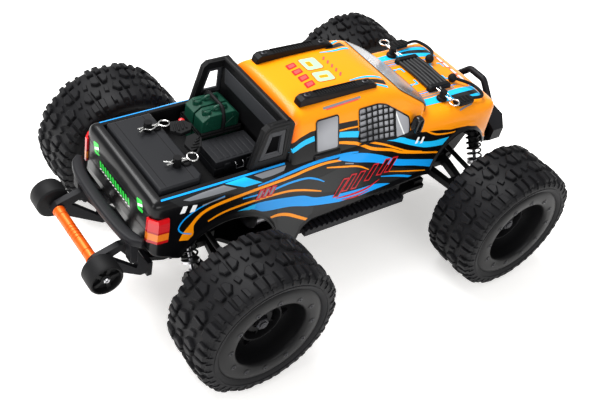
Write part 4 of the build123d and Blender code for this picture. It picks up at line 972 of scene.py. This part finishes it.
def rim(corner, x, side):
    dish = Piece()
    centre = (x, side * HALF_TRACK, AXLE_Z)
    outline = [(32.8, -16.8), (33.2, 15.5), (33.9, 17.4), (33.8, 18.7), (32.8, 19.5), (31.0, 20.0),
               (28.6, 20.25), (25.4, 20.1), (24.0, 19.6), (23.2, 18.6), (22.9, 17.0), (22.4, 11.0),
               (21.6, 5.6), (20.2, 3.6), (14.4, 3.0), (13.7, 3.6), (13.5, 8.6), (13.2, 9.2),
               (12.3, 9.2), (12.0, 8.6), (11.7, 3.4), (9.4, 3.0), (8.8, 3.4), (8.6, 6.6), (8.0, 7.2),
               (5.0, 7.2), (4.8, 5.6), (0.01, 5.6)]
    dish.axle(outline, centre, side, 96)
    back = [(32.8, -16.8), (29.6, -16.8), (29.5, -2.0), (23.6, 0.0), (8.5, 0.0), (8.5, -3.0),
            (2.6, -3.0), (2.45, -12.5), (0.01, -12.5)]
    dish.axle(back, centre, side, 96)
    for k in range(8):
        a = TURN * k / 8 + 0.2
        spoke = [wheel_point(x, side, a + w / 18.0, r, d) for r, d,
                 w in ((12.6, 8.0, -0.9), (21.8, 5.0, -0.9), (21.8, 2.6, -1.2), (12.6, 2.6, -1.2))]
        other = [wheel_point(x, side, a + w / 18.0, r, d) for r, d,
                 w in ((12.6, 8.0, 0.9), (21.8, 5.0, 0.9), (21.8, 2.6, 1.2), (12.6, 2.6, 1.2))]
        dish.rings([spoke, other], wrap=True, ends=True)
    for k in range(6):
        a = TURN * k / 6
        section = ((8.2, 6.4), (12.4, 6.4), (12.4, 2.6), (8.2, 2.6))
        rib = [[wheel_point(x, side, a + w / 10.0, r, d) for w in (-0.6, 0.6)] for r, d in section]
        dish.rings([[p[0] for p in rib], [p[1] for p in rib]], wrap=True, ends=True)
    for k in range(RING_SCREWS):
        a = TURN * k / RING_SCREWS
        at = wheel_point(x, side, a, SCREW_CIRCLE, 20.0)
        boss = [(2.2, 0.0), (2.1, 0.25), (1.8, 0.35), (1.5, 0.3), (1.4, 0.1), (0.01, 0.1)]
        dish.axle(boss, at, side, 20)
    dish.make("rim_dish_" + corner, "rim_plastic", "wheel_" + corner, sharp=35,
              stands_for=("wheel_rim_" + corner,))
    screws = Piece()
    for k in range(RING_SCREWS):
        a = TURN * k / RING_SCREWS
        at = wheel_point(x, side, a, SCREW_CIRCLE, 20.15)
        screws.axle([(1.35, 0.0), (1.3, 0.3), (1.1, 0.42), (0.7, 0.42)], at, side, 18)
        screws.axle([(0.7, 0.42), (0.65, 0.05), (0.01, 0.05)], at, side, 6)
    screws.make("rim_screws_" + corner, "dark_steel", "wheel_" + corner, sharp=35, slot="rim_plastic")
    nut = Piece()
    nut.axle([(0.01, 5.4), (4.7, 5.4), (4.7, 6.6), (4.3, 6.8)], centre, side, 32)
    nut.axle([(0.01, 6.8), (4.2, 6.8), (4.2, 10.0), (3.7, 10.6), (2.6, 10.6)], centre, side, 6)
    nut.axle([(2.6, 10.6), (2.4, 11.4), (1.6, 11.6), (0.01, 11.6)], centre, side, 24)
    nut.make("wheel_nut_" + corner, "dark_steel", "wheel_" + corner, sharp=30, slot="rim_plastic")
    tip = Piece()
    tip.axle([(0.01, 11.9), (1.5, 11.8), (1.7, 11.2)], centre, side, 20)
    tip.make("axle_tip_" + corner, "dark_steel", "wheel_" + corner, sharp=30, slot="rim_plastic")


for corner, x, side, _ in WHEELS:
    tyre(corner, x, side)
    rim(corner, x, side)


# ---------------------------------------------------------------- springs
def spring(corner, x, side, ahead):
    """Two half springs that overlap at rest: one on the damper body, one on its rod."""
    top = np.array((x + ahead * 16.0, side * 26.0, 82.0))
    low = np.array((x + ahead * 16.0, side * 46.0, 46.5))
    along = (low - top) / np.linalg.norm(low - top)
    u, v, w = axes_for(along)
    for name, body, start, end in (("upper", "damper_", SPRING_START, 22.0),
                                   ("lower", "damper_rod_", 16.0, 31.2)):
        path = []
        for k in range(int((end - start) / SPRING_PITCH * 18) + 1):
            d = start + SPRING_PITCH * k / 18
            a = TURN * (d - SPRING_START) / SPRING_PITCH
            path.append(top + w * d + SPRING_RADIUS * (u * math.cos(a) + v * math.sin(a)))
        coil = Piece()
        coil.tube(path, SPRING_WIRE, 8)
        coil.make("spring_" + name + "_" + corner, "black_steel", body + corner, sharp=60,
                  stands_for=("shock_springs",), slot="steel")


for corner, x, side, ahead in WHEELS:
    spring(corner, x, side, ahead)


# ---------------------------------------------------------------- wheelie bar
def wheelie():
    x, z = WHEELIE_X, WHEELIE_Z
    tube = Piece()
    profile = [(0.01, -22.0), (3.5, -22.0), (3.7, -21.7), (3.7, -20.8), (3.3, -20.5)]
    for mid in (-16.0, -5.2, -2.6, 0.0, 2.6, 5.2, 16.0):
        profile += [(3.3, mid - 0.7), (2.95, mid - 0.5), (2.95, mid + 0.5), (3.3, mid + 0.7)]
    profile += [(r, -a) for r, a in reversed(profile[:5])]
    tube.turned(profile, (x, 0, z), ACROSS, 40)
    tube.make("wheelie_spacer", "orange_aluminium", sharp=30, stands_for=("wheelie_tube",))
    wheels = Piece()
    dark = Piece()
    silver = Piece()
    for side in (-1, 1):
        drum = [(1.6, 27.7), (7.6, 27.7), (9.4, 27.9), (10.2, 28.9), (10.25, 33.9), (10.2, 38.8),
                (9.7, 39.9), (9.0, 40.1), (8.5, 39.7), (8.3, 38.8), (8.1, 36.4), (3.6, 36.0),
                (3.2, 36.4), (3.1, 38.6), (2.6, 39.0), (0.01, 39.0)]
        wheels.axle(drum, (x, 0, z), side, 64)
        for k in range(5):
            a = TURN * k / 5 + 0.3
            spoke = []
            for w in (-1, 1):
                spoke.append([(x + r * math.sin(a + w * t / r), side * d,
                               z + r * math.cos(a + w * t / r)) for r, d,
                               t in ((2.6, 38.2, 0.9), (8.4, 37.9, 1.3), (8.4, 36.0, 1.5),
                                     (2.6, 36.0, 1.1))])
            wheels.rings(spoke, wrap=True, ends=True)
        silver.axle([(1.9, 38.9), (1.8, 39.7), (1.3, 40.1), (0.8, 40.0)], (x, 0, z), side, 24)
        silver.axle([(0.8, 40.0), (0.75, 39.4), (0.01, 39.4)], (x, 0, z), side, 6)
        dark.axle([(3.0, 26.3), (3.0, 27.6), (1.6, 27.6)], (x, 0, z), side, 24)
    wheels.make("wheelie_rollers", "rubber", "wheelie_pair", sharp=30, stands_for=("wheelie_wheels",))
    silver.make("wheelie_screws", "steel", "wheelie_pair", sharp=30)
    dark.make("wheelie_collars", "nylon", "root", sharp=30)


wheelie()


# ---------------------------------------------------------------- outside fittings
def roof_rails():
    rails = Piece()
    ribs = Piece()
    screws = Piece()
    for side in (-1, 1):
        y0, y1 = side * 19.6, side * 25.6
        lay = [(-30.0, 131.0), (-29.4, 134.6), (-27.0, 136.3), (-19.0, 136.2), (-17.0, 135.5),
               (13.0, 134.9), (15.0, 135.4), (24.0, 134.6), (27.4, 132.8), (27.6, 130.0)]
        rails.prism([(x, y0, z) for x, z in lay], (0, y1 - y0, 0))
        for y in (y0 + side * 0.2, y1 - side * 0.9):
            rails.prism([(-18.0, y, 134.6), (-18.0, y, 136.4), (14.0, y, 135.7), (14.0, y, 134.0)],
                        (0, side * 0.7, 0))
        for k in range(16):
            x = -15.6 + 1.9 * k
            z = 135.5 - 0.02 * (x + 17)
            ribs.prism([(x - 0.5, y0 + side * 1.0, z - 0.6), (x + 0.5, y0 + side * 1.0, z - 0.6),
                        (x + 0.35, y0 + side * 1.0, z + 0.5), (x - 0.35, y0 + side * 1.0, z + 0.5)],
                        (0, side * 4.0, 0))
        for x, z in ((-23.6, 136.3), (19.4, 135.1)):
            screws.turned([(2.0, -0.6), (2.0, 0.35), (1.5, 0.7), (0.9, 0.7)], (x, side * 22.6, z),
                          UPWARD, 24)
            screws.turned([(0.9, 0.7), (0.85, 0.1), (0.01, 0.1)], (x, side * 22.6, z), UPWARD, 6)
    rails.make("rail_bars", "black_plastic", bevel=0.5, stands_for=("roof_rails",))
    ribs.make("rail_ribs", "black_plastic", bevel=0.15)
    screws.make("rail_screws", "dark_steel", sharp=30, slot="black_plastic")


def sport_bar():
    """Tubes and grey inserts that round off the sport bar behind the cab."""
    tubes = Piece()
    inserts = Piece()
    for side in (-1, 1):
        y = side * 33.0
        path = smooth_path([(-63.4, y, 103.4), (-60.6, y, 116.5), (-57.6, y, 126.8), (-54.6, y, 129.0),
                            (-48, y, 129.1), (-42.4, y, 129.0), (-40.9, y, 126), (-40.8, y, 104)], 2.0)
        tubes.tube(path, 2.1, 14)
        outer = [(-59.4, 107.6), (-55.2, 126.2), (-44.2, 126.2), (-43.2, 107.6)]
        window = [(-56.0, 110.6), (-52.8, 123.0), (-46.8, 123.0), (-46.4, 110.6)]
        for a, b in ((0, 1), (1, 2), (2, 3), (3, 0)):
            quad = [outer[a], outer[b], window[b], window[a]]
            inserts.prism([(px, side * 33.0, pz) for px, pz in quad], (0, side * 1.6, 0))
    tubes.tube([(-42.6, -33, 129.2), (-42.6, -20, 129.6), (-42.6, 0, 129.7), (-42.6, 20, 129.6),
                (-42.6, 33, 129.2)], 2.3, 14)
    inserts.prism([(-45.3, -29.5, 126.4), (-45.3, 29.5, 126.4), (-45.3, 27.5, 116.5),
                   (-45.3, -27.5, 116.5)], (0.4, 0, 0))
    tubes.make("bar_tubes", "black_plastic", sharp=50)
    inserts.make("bar_inserts", "frame_grey", bevel=0.3, slot="black_plastic")


def side_scoops():
    """The ledge under each quarter window."""
    scoops = Piece()
    for side in (-1, 1):
        outer, inner = side * 40.6, side * 36.0
        scoops.prism([(-22.4, inner, 99.6), (-22.4, outer, 100.4), (-22.0, outer - side * 1.2, 103.4),
                      (-22.0, inner, 104.0)], (19.4, 0, 0))
    scoops.make("quarter_ledges", "print_black", bevel=0.8)


def mirrors():
    heads = Piece()
    for side in (-1, 1):
        shell = []
        for y, grow in ((39.6, 0.86), (40.6, 1.0), (43.4, 1.0), (44.8, 0.9), (45.2, 0.7)):
            ring = []
            for a in np.linspace(0, TURN, 24, endpoint=False):
                c, s = math.cos(a), math.sin(a)
                px = 54.5 + 3.0 * grow * math.copysign(abs(c) ** 0.6, c)
                pz = 106.9 + 6.0 * grow * math.copysign(abs(s) ** 0.6, s)
                ring.append((px, side * y, pz))
            shell.append(ring)
        heads.rings(shell, wrap=True, ends=True)
        heads.tube([(54.4, side * 36.0, 104.2), (54.4, side * 41, 104.6)], 1.7, 10)
    heads.make("mirror_heads", "gloss_black", sharp=40, stands_for=("door_mirrors",),
               slot="black_plastic")


def rear_bar():
    """Rear bumper: a flat-topped bar whose ends curl forward, on two brackets."""
    piece = Piece()
    half = [(-132.2, -39.4, 77.2), (-134.0, -37.4, 77.4), (-136.6, -31.5, 77.5), (-138.4, -22, 77.5)]
    line = smooth_path(half + [(-139.2, 0, 77.5)] + [(x, -y, z) for x, y, z in reversed(half)], 1.6)
    rows = []
    for i, p in enumerate(line):
        before, after = line[max(i - 1, 0)], line[min(i + 1, len(line) - 1)]
        t = after - before
        t = t / np.linalg.norm(t)
        out = np.cross(t, (0, 0, 1.0))
        out = out / np.linalg.norm(out)
        end = min(i, len(line) - 1 - i)
        swell = 1.0 - 0.45 * math.exp(-(end / 1.8) ** 2)
        rows.append([p + out * 3.5 * swell * math.copysign(abs(math.cos(a)) ** 0.5,
                math.cos(a)) + np.array((0, 0, 1.0)) * (2.5 * math.copysign(abs(math.sin(a)) ** 0.5,
                math.sin(a))) for a in np.linspace(0, TURN, 24, endpoint=False)])
    piece.rings(rows, wrap=True, ends=True)
    arm = [(-116, 36.1), (-108, 36.1), (-108, 44), (-128, 63), (-132.5, 68), (-136, 75.8), (-141, 75.8),
           (-138, 68), (-131, 56)]
    for side in (-1, 1):
        piece.prism([(x, side * 8, z) for x, z in arm], (0, side * 4, 0))
        piece.prism([(-138, side * 29, 75.8), (-132.5, side * 29, 75.8), (-132.5, side * 30, 60.5),
                     (-137, side * 30, 60.5)], (0, side * 6.3, 0))
    piece.make("rear_bar", "bumper_plastic", sharp=35, bevel=0.5, stands_for=("rear_bumper",),
               slot="black_plastic")


def bed_cargo():
    box = Piece()
    box.prism([(-120.2, -31.4, 88.1), (-95.4, -31.4, 88.1), (-92.4, -28.4, 88.1), (-92.4, 31.4, 88.1),
               (-120.2, 31.4, 88.1)], (0, 0, 16.8))
    box.make("flat_box", "case_plastic", bevel=1.1, stands_for=("cargo_box",))
    seams = Piece()
    for x in (-115.6, -98.2):
        seams.box(x - 0.18, x + 0.18, -30, 30, 104.6, 104.98)
    seams.make("flat_box_seams", "gloss_black", slot="case_plastic")
    cans = Piece()
    crosses = Piece()
    caps = Piece()
    for y0 in (6.4, 17.2):
        y1 = y0 + 9.6
        side_view = [(-71.8, 88.2), (-46.7, 88.2), (-46.7, 109.0), (-50.4, 112.3), (-67.4, 112.3),
                     (-71.8, 109.0)]
        cans.prism([(x, y0, z) for x, z in side_view], (0, 9.6, 0))
        for y in (y0 - 0.35, y1 - 0.45):
            for a, b in (((-69, 91), (-50.0, 108)), ((-69, 108), (-50, 91))):
                d = np.array(b, float) - np.array(a, float)
                n = np.array((-d[1], d[0])) / np.linalg.norm(d) * 1.1
                quad = [np.array(a) + n, np.array(b) + n, np.array(b) - n, np.array(a) - n]
                crosses.prism([(p[0], y, p[1]) for p in quad], (0, 0.8, 0))
            for (ax, az), (bx, bz) in zip(((-70.2, 90), (-48.6, 90), (-48.6, 107)),
                                          ((-48.6, 90), (-48.6, 107), (-52, 110.4))):
                crosses.tube([(ax, y + 0.4, az), (bx, y + 0.4, bz)], 0.5, 6)
        mid = y0 + 4.8
        cans.tube(smooth_path([(-63.0, mid, 111.8), (-61.8, mid, 114.2), (-58, mid, 114.9),
                               (-54.4, mid, 114.2), (-53.2, mid, 111.8)], 1.2), 1.0, 8)
        caps.turned([(2.7, -1.5), (2.8, 1.6), (2.4, 2.2), (0.01, 2.3)], (-67.0, y0 + 4.8, 112.2),
                    UPWARD, 24)
        caps.box(-70.0, -65.0, y0 + 3.9, y0 + 5.7, 114.0, 114.9)
    cans.make("can_bodies", "can_plastic", bevel=0.9, stands_for=("jerry_cans",))
    crosses.make("can_embossing", "can_plastic", bevel=0.25)
    caps.make("can_caps", "can_plastic", bevel=0.3)
    strap = Piece()
    for z in (99.0, 101.0):
        strap.tube([(-72.6, 5.4, z), (-72.6, 28.0, z), (-45.9, 28.0, z), (-45.9, 5.4, z)], 1.05, 8,
                   closed=True)
    strap.tube(smooth_path([(-58, 5.6, 100), (-58, 5.2, 108), (-58, 8, 114.6), (-58, 16.6, 115.4),
                            (-58, 25.6, 114.6), (-58, 28.0, 108), (-58, 28.0, 100)], 2), 1.2, 8)
    strap.make("can_strap", "rubber", sharp=60)
    case = Piece()
    case.prism([(-75.8, -17.3, 88.2), (-44.2, -17.3, 88.2), (-44.2, 3.3, 88.2), (-75.8, 3.3, 88.2)],
               (0, 0, 5.2))
    case.prism([(-75.8, -17.3, 93.8), (-44.2, -17.3, 93.8), (-44.2, 3.3, 93.8), (-75.8, 3.3, 93.8)],
               (0, 0, 4.9))
    case.prism([(-75.0, -16.6, 93.2), (-45.0, -16.6, 93.2), (-45.0, 2.6, 93.2), (-75.0, 2.6, 93.2)],
               (0, 0, 0.8))
    case.make("tool_case_body", "case_plastic", bevel=1.1, stands_for=("tool_case",))
    ribs = Piece()
    for k in range(7):
        x = -72.6 + 4.2 * k
        ribs.box(x, x + 3.2, -15.8, 1.9, 98.4, 98.95)
    ribs.make("tool_case_ribs", "case_plastic", bevel=0.3)
    latch = Piece()
    for x in (-68, -53):
        latch.box(x - 2.0, x + 2.0, -18.4, -17.0, 91.2, 96.6)
    latch.make("tool_case_latches", "case_plastic", bevel=0.4)
    wire = Piece()
    wire.tube(smooth_path([(-62.5, -17.6, 95.6), (-62.5, -19.0, 94.8), (-62.5, -19.4, 92.2),
                           (-57.5, -19.4, 92.2), (-57.5, -19.0, 94.8), (-57.5, -17.6, 95.6)], 0.8),
                           0.35, 8)
    wire.make("tool_case_wire", "steel", sharp=60)


def r_clip(piece, origin, along, across):
    """Spring clip with a straight leg, a waved leg and a pull ring; its tips spread into a K."""
    o, a, b = np.array(origin, float), np.array((*along, 0.0)), np.array((*across, 0.0))

    def at(s, t, h=0.0):
        return o + a * s + b * t + np.array((0, 0, h))

    piece.tube([at(-6.5, 0.0), at(7.4, 0.0)], 0.5, 10)
    piece.tube(smooth_path([at(-6.6, 3.2), at(-4.6, 2.2), at(-2.6, 1.4), at(0, 3.0), at(2.6, 2.8),
                            at(5.4, 1.2), at(7.6, 1.7)], 0.7), 0.5, 10)
    ring = [at(10.2 + 3.1 * math.cos(t), 0.8 + 3.1 * math.sin(t),
               0.4 * math.sin(t)) for t in np.linspace(0, TURN, 36, endpoint=False)]
    piece.tube(ring, 0.5, 10, closed=True)


def clips_and_tabs():
    clips = Piece()
    tabs = Piece()
    for side in (-1, 1):
        r_clip(clips, (88.9, side * 26.4, 110.6), (0, side), (1, 0))
        r_clip(clips, (-101.9, side * 17.0, 107.6), (1, 0), (0, -side))
        tabs.prism([(93.4, side * 32.2, 106.6), (96, side * 30.6, 106.6), (107, side * 31.0, 106.6),
                    (109.4, side * 34.4, 106.6), (107, side * 38.0, 106.6), (96, side * 38.2, 106.6),
                    (93.4, side * 36.4, 106.6)], (0, 0, 2.3))
        for k in range(4):
            tabs.tube([(96.5 + 3.1 * k, side * 31.6, 109.0), (96.5 + 3.1 * k, side * 37.4, 109.0)],
                      0.65, 8)
        route = smooth_path([(108, side * 34, 107.4), (118, side * 34.5, 106.8),
                             (122.2, side * 28, 106.2), (121, side * 20, 106.4),
                             (112, side * 12.5, 108.2)], 1.5)
        tabs.tube(route, 1.15, 10)
        tabs.turned([(0.01, -3.1), (1.9, -2.5), (3.0, -0.8), (3.0, 0.8), (1.9, 2.5), (0.01, 3.1)],
                    (111, side * 12, 108.2), UPWARD, 24)
    left = [(-92.0, 8.4), (-88.4, 15.6), (-80.0, 14.2), (-77.2, 9.2), (-80.6, 4.8), (-87.6, 3.6)]
    right = [(-90, -12.4), (-82.5, -10.6), (-78.6, -4.0), (-80.4, 1.2), (-86.2, 0.4), (-90.6, -5.2)]
    for outline in (left, right):
        tabs.prism([(x, y, 105.9) for x, y in outline], (0, 0, 2.4))
    for k in range(4):
        tabs.tube([(-90.2 + 2.6 * k, 6.0 + 0.2 * k, 108.6), (-87.6 + 2.2 * k, 13.0, 108.6)], 0.6, 8)
        tabs.tube([(-89.0 + 2.2 * k, -9.6 + 1.6 * k, 108.6), (-84.4 + 1.7 * k, -10.6 + 2.6 * k, 108.6)],
                  0.6, 8)
    for side in (-1, 1):
        tabs.tube(smooth_path([(-89.5, side * 15.6, 107.4), (-86.5, side * 13.6, 107.6),
                               (-84, side * 10.4, 107.2)], 1.0), 0.9, 8)
        tabs.turned([(2.6, 0.0), (2.9, 0.7), (2.2, 1.5), (0.01, 1.5)], (-96.2, side * 17.0, 105.0),
                    UPWARD, 20)
    clips.make("clip_wires", "clip_wire", sharp=60, stands_for=("body_clips",))
    tabs.make("clip_tabs", "rubber", sharp=40, bevel=0.3, stands_for=("clip_leashes",))
    red = Piece()
    red.turned([(0.01, -2.4), (1.7, -1.7), (2.3, 0.0), (1.7, 1.7), (0.01, 2.3)], (-80.4, 15.8, 105.6),
               UPWARD, 20)
    red.make("bed_red_bead", "lamp_plastic", sharp=50)


def rope():
    """Rope strands laid to and fro across the hood between two brackets."""
    strands = Piece()
    for i in range(6):
        x = 87.2 + 3.1 * i
        sag = 0.25 * math.sin(2.3 * i)
        strands.tube(smooth_path([(x, -15.6, 108.2), (x + sag, -6.0, 108.7), (x - sag, 6.0, 108.7),
                                  (x, 16.6, 108.2)], 1.5), 1.42, 12)
    strands.make("rope_strands", "rope", sharp=60, stands_for=("hood_rope",))
    brackets = Piece()
    for y in (-18.0, 15.5):
        outline = [(85.2, y, 106.0), (85.2, y, 109.0), (86.6, y, 110.6), (103.2, y, 110.0),
                   (104.6, y, 108.4), (104.6, y, 104.8)]
        brackets.prism(outline, (0, 3.5, 0))
    for side in (-1, 1):
        brackets.turned([(3.6, 0.0), (3.6, 1.2), (2.6, 2.0), (0.01, 2.0)], (88.9, side * 26.4, 106.6),
                        UPWARD, 24)
    brackets.make("rope_brackets", "black_plastic", bevel=0.5)


roof_rails()
sport_bar()
side_scoops()
mirrors()
rear_bar()
bed_cargo()
clips_and_tabs()
rope()


# ---------------------------------------------------------------- CAD nodes that stay in sight
for row in frame["record"]["subparts"]:
    node = frame["nodes"][row["node"]]
    if node.hide_render:
        continue
    mat = MAT[row["material_slot"]]
    if row["node"] in ("front_bumper", "wheelie_arms", "side_steps"):
        mat = MAT["bumper_plastic"]
    node.data.materials.clear()
    node.data.materials.append(mat)
    if row["node"] != "battery_pack":
        round_edges(node, 0.45, 2)


# ---------------------------------------------------------------- stage, light and camera
CAMERA_PLACE = (-0.3288, -0.3575, 0.4440)
CAMERA_TURN, CAMERA_LIFT, CAMERA_ROLL = -43.585, 40.373, 13.232
CAMERA_LENS, CAMERA_SENSOR = 57.43, 36.0
FLOOR_HALF = 3.0


def stage():
    floor_mesh = bpy.data.meshes.new("floor")
    size = FLOOR_HALF
    floor_mesh.from_pydata([(-size, -size, 0), (size, -size, 0), (size, size, 0), (-size, size, 0)], [],
                           [(0, 1, 2, 3)])
    floor = bpy.data.objects.new("floor", floor_mesh)
    bpy.context.scene.collection.objects.link(floor)
    pale = material("floor", (0.93, 0.925, 0.915), rough=1.0, specular=0.0)
    pale.node_tree.nodes["Principled BSDF"].inputs["Emission Color"].default_value = (1.0, 0.985, 0.965,
            1.0)
    pale.node_tree.nodes["Principled BSDF"].inputs["Emission Strength"].default_value = 0.45
    floor_mesh.materials.append(pale)
    world = bpy.data.worlds.new("studio")
    bpy.context.scene.world = world
    world.use_nodes = True
    world.node_tree.nodes["Background"].inputs["Color"].default_value = (1.0, 1.0, 1.0, 1.0)
    world.node_tree.nodes["Background"].inputs["Strength"].default_value = 0.5
    for name, place, target, size_x, size_y, power in (
            ("key", (-0.25, 0.55, 1.15), (0.0, 0.0, 0.05), 0.9, 0.7, 23.0),
            ("side", (-0.2, -1.25, 0.75), (0.0, 0.0, 0.06), 0.9, 0.35, 7.0),
            ("rear", (-1.2, -0.1, 0.7), (0.0, 0.0, 0.08), 0.5, 0.9, 5.0)):
        data = bpy.data.lights.new(name, "AREA")
        data.shape = "RECTANGLE"
        data.size, data.size_y, data.energy = size_x, size_y, power
        lamp = bpy.data.objects.new(name, data)
        bpy.context.scene.collection.objects.link(lamp)
        lamp.location = place
        lamp.rotation_euler = (Vector(target) - Vector(place)).to_track_quat("-Z", "Y").to_euler()
    bpy.context.scene.view_settings.view_transform = "Standard"


def camera():
    turn, lift, roll = (math.radians(a) for a in (CAMERA_TURN, CAMERA_LIFT, CAMERA_ROLL))
    back = Vector((math.sin(turn) * math.cos(lift), -math.cos(turn) * math.cos(lift), math.sin(lift)))
    right = Vector((math.cos(turn), math.sin(turn), 0))
    up = back.cross(right)
    across = right * math.cos(roll) + up * math.sin(roll)
    upward = up * math.cos(roll) - right * math.sin(roll)
    data = bpy.data.cameras.new("camera")
    data.sensor_width = CAMERA_SENSOR
    data.lens = CAMERA_LENS
    data.clip_start = 0.01
    obj = bpy.data.objects.new("camera", data)
    bpy.context.scene.collection.objects.link(obj)
    pose = Matrix((across, upward, back)).transposed().to_4x4()
    pose.translation = Vector(CAMERA_PLACE)
    obj.matrix_world = pose
    bpy.context.scene.camera = obj


stage()
camera()
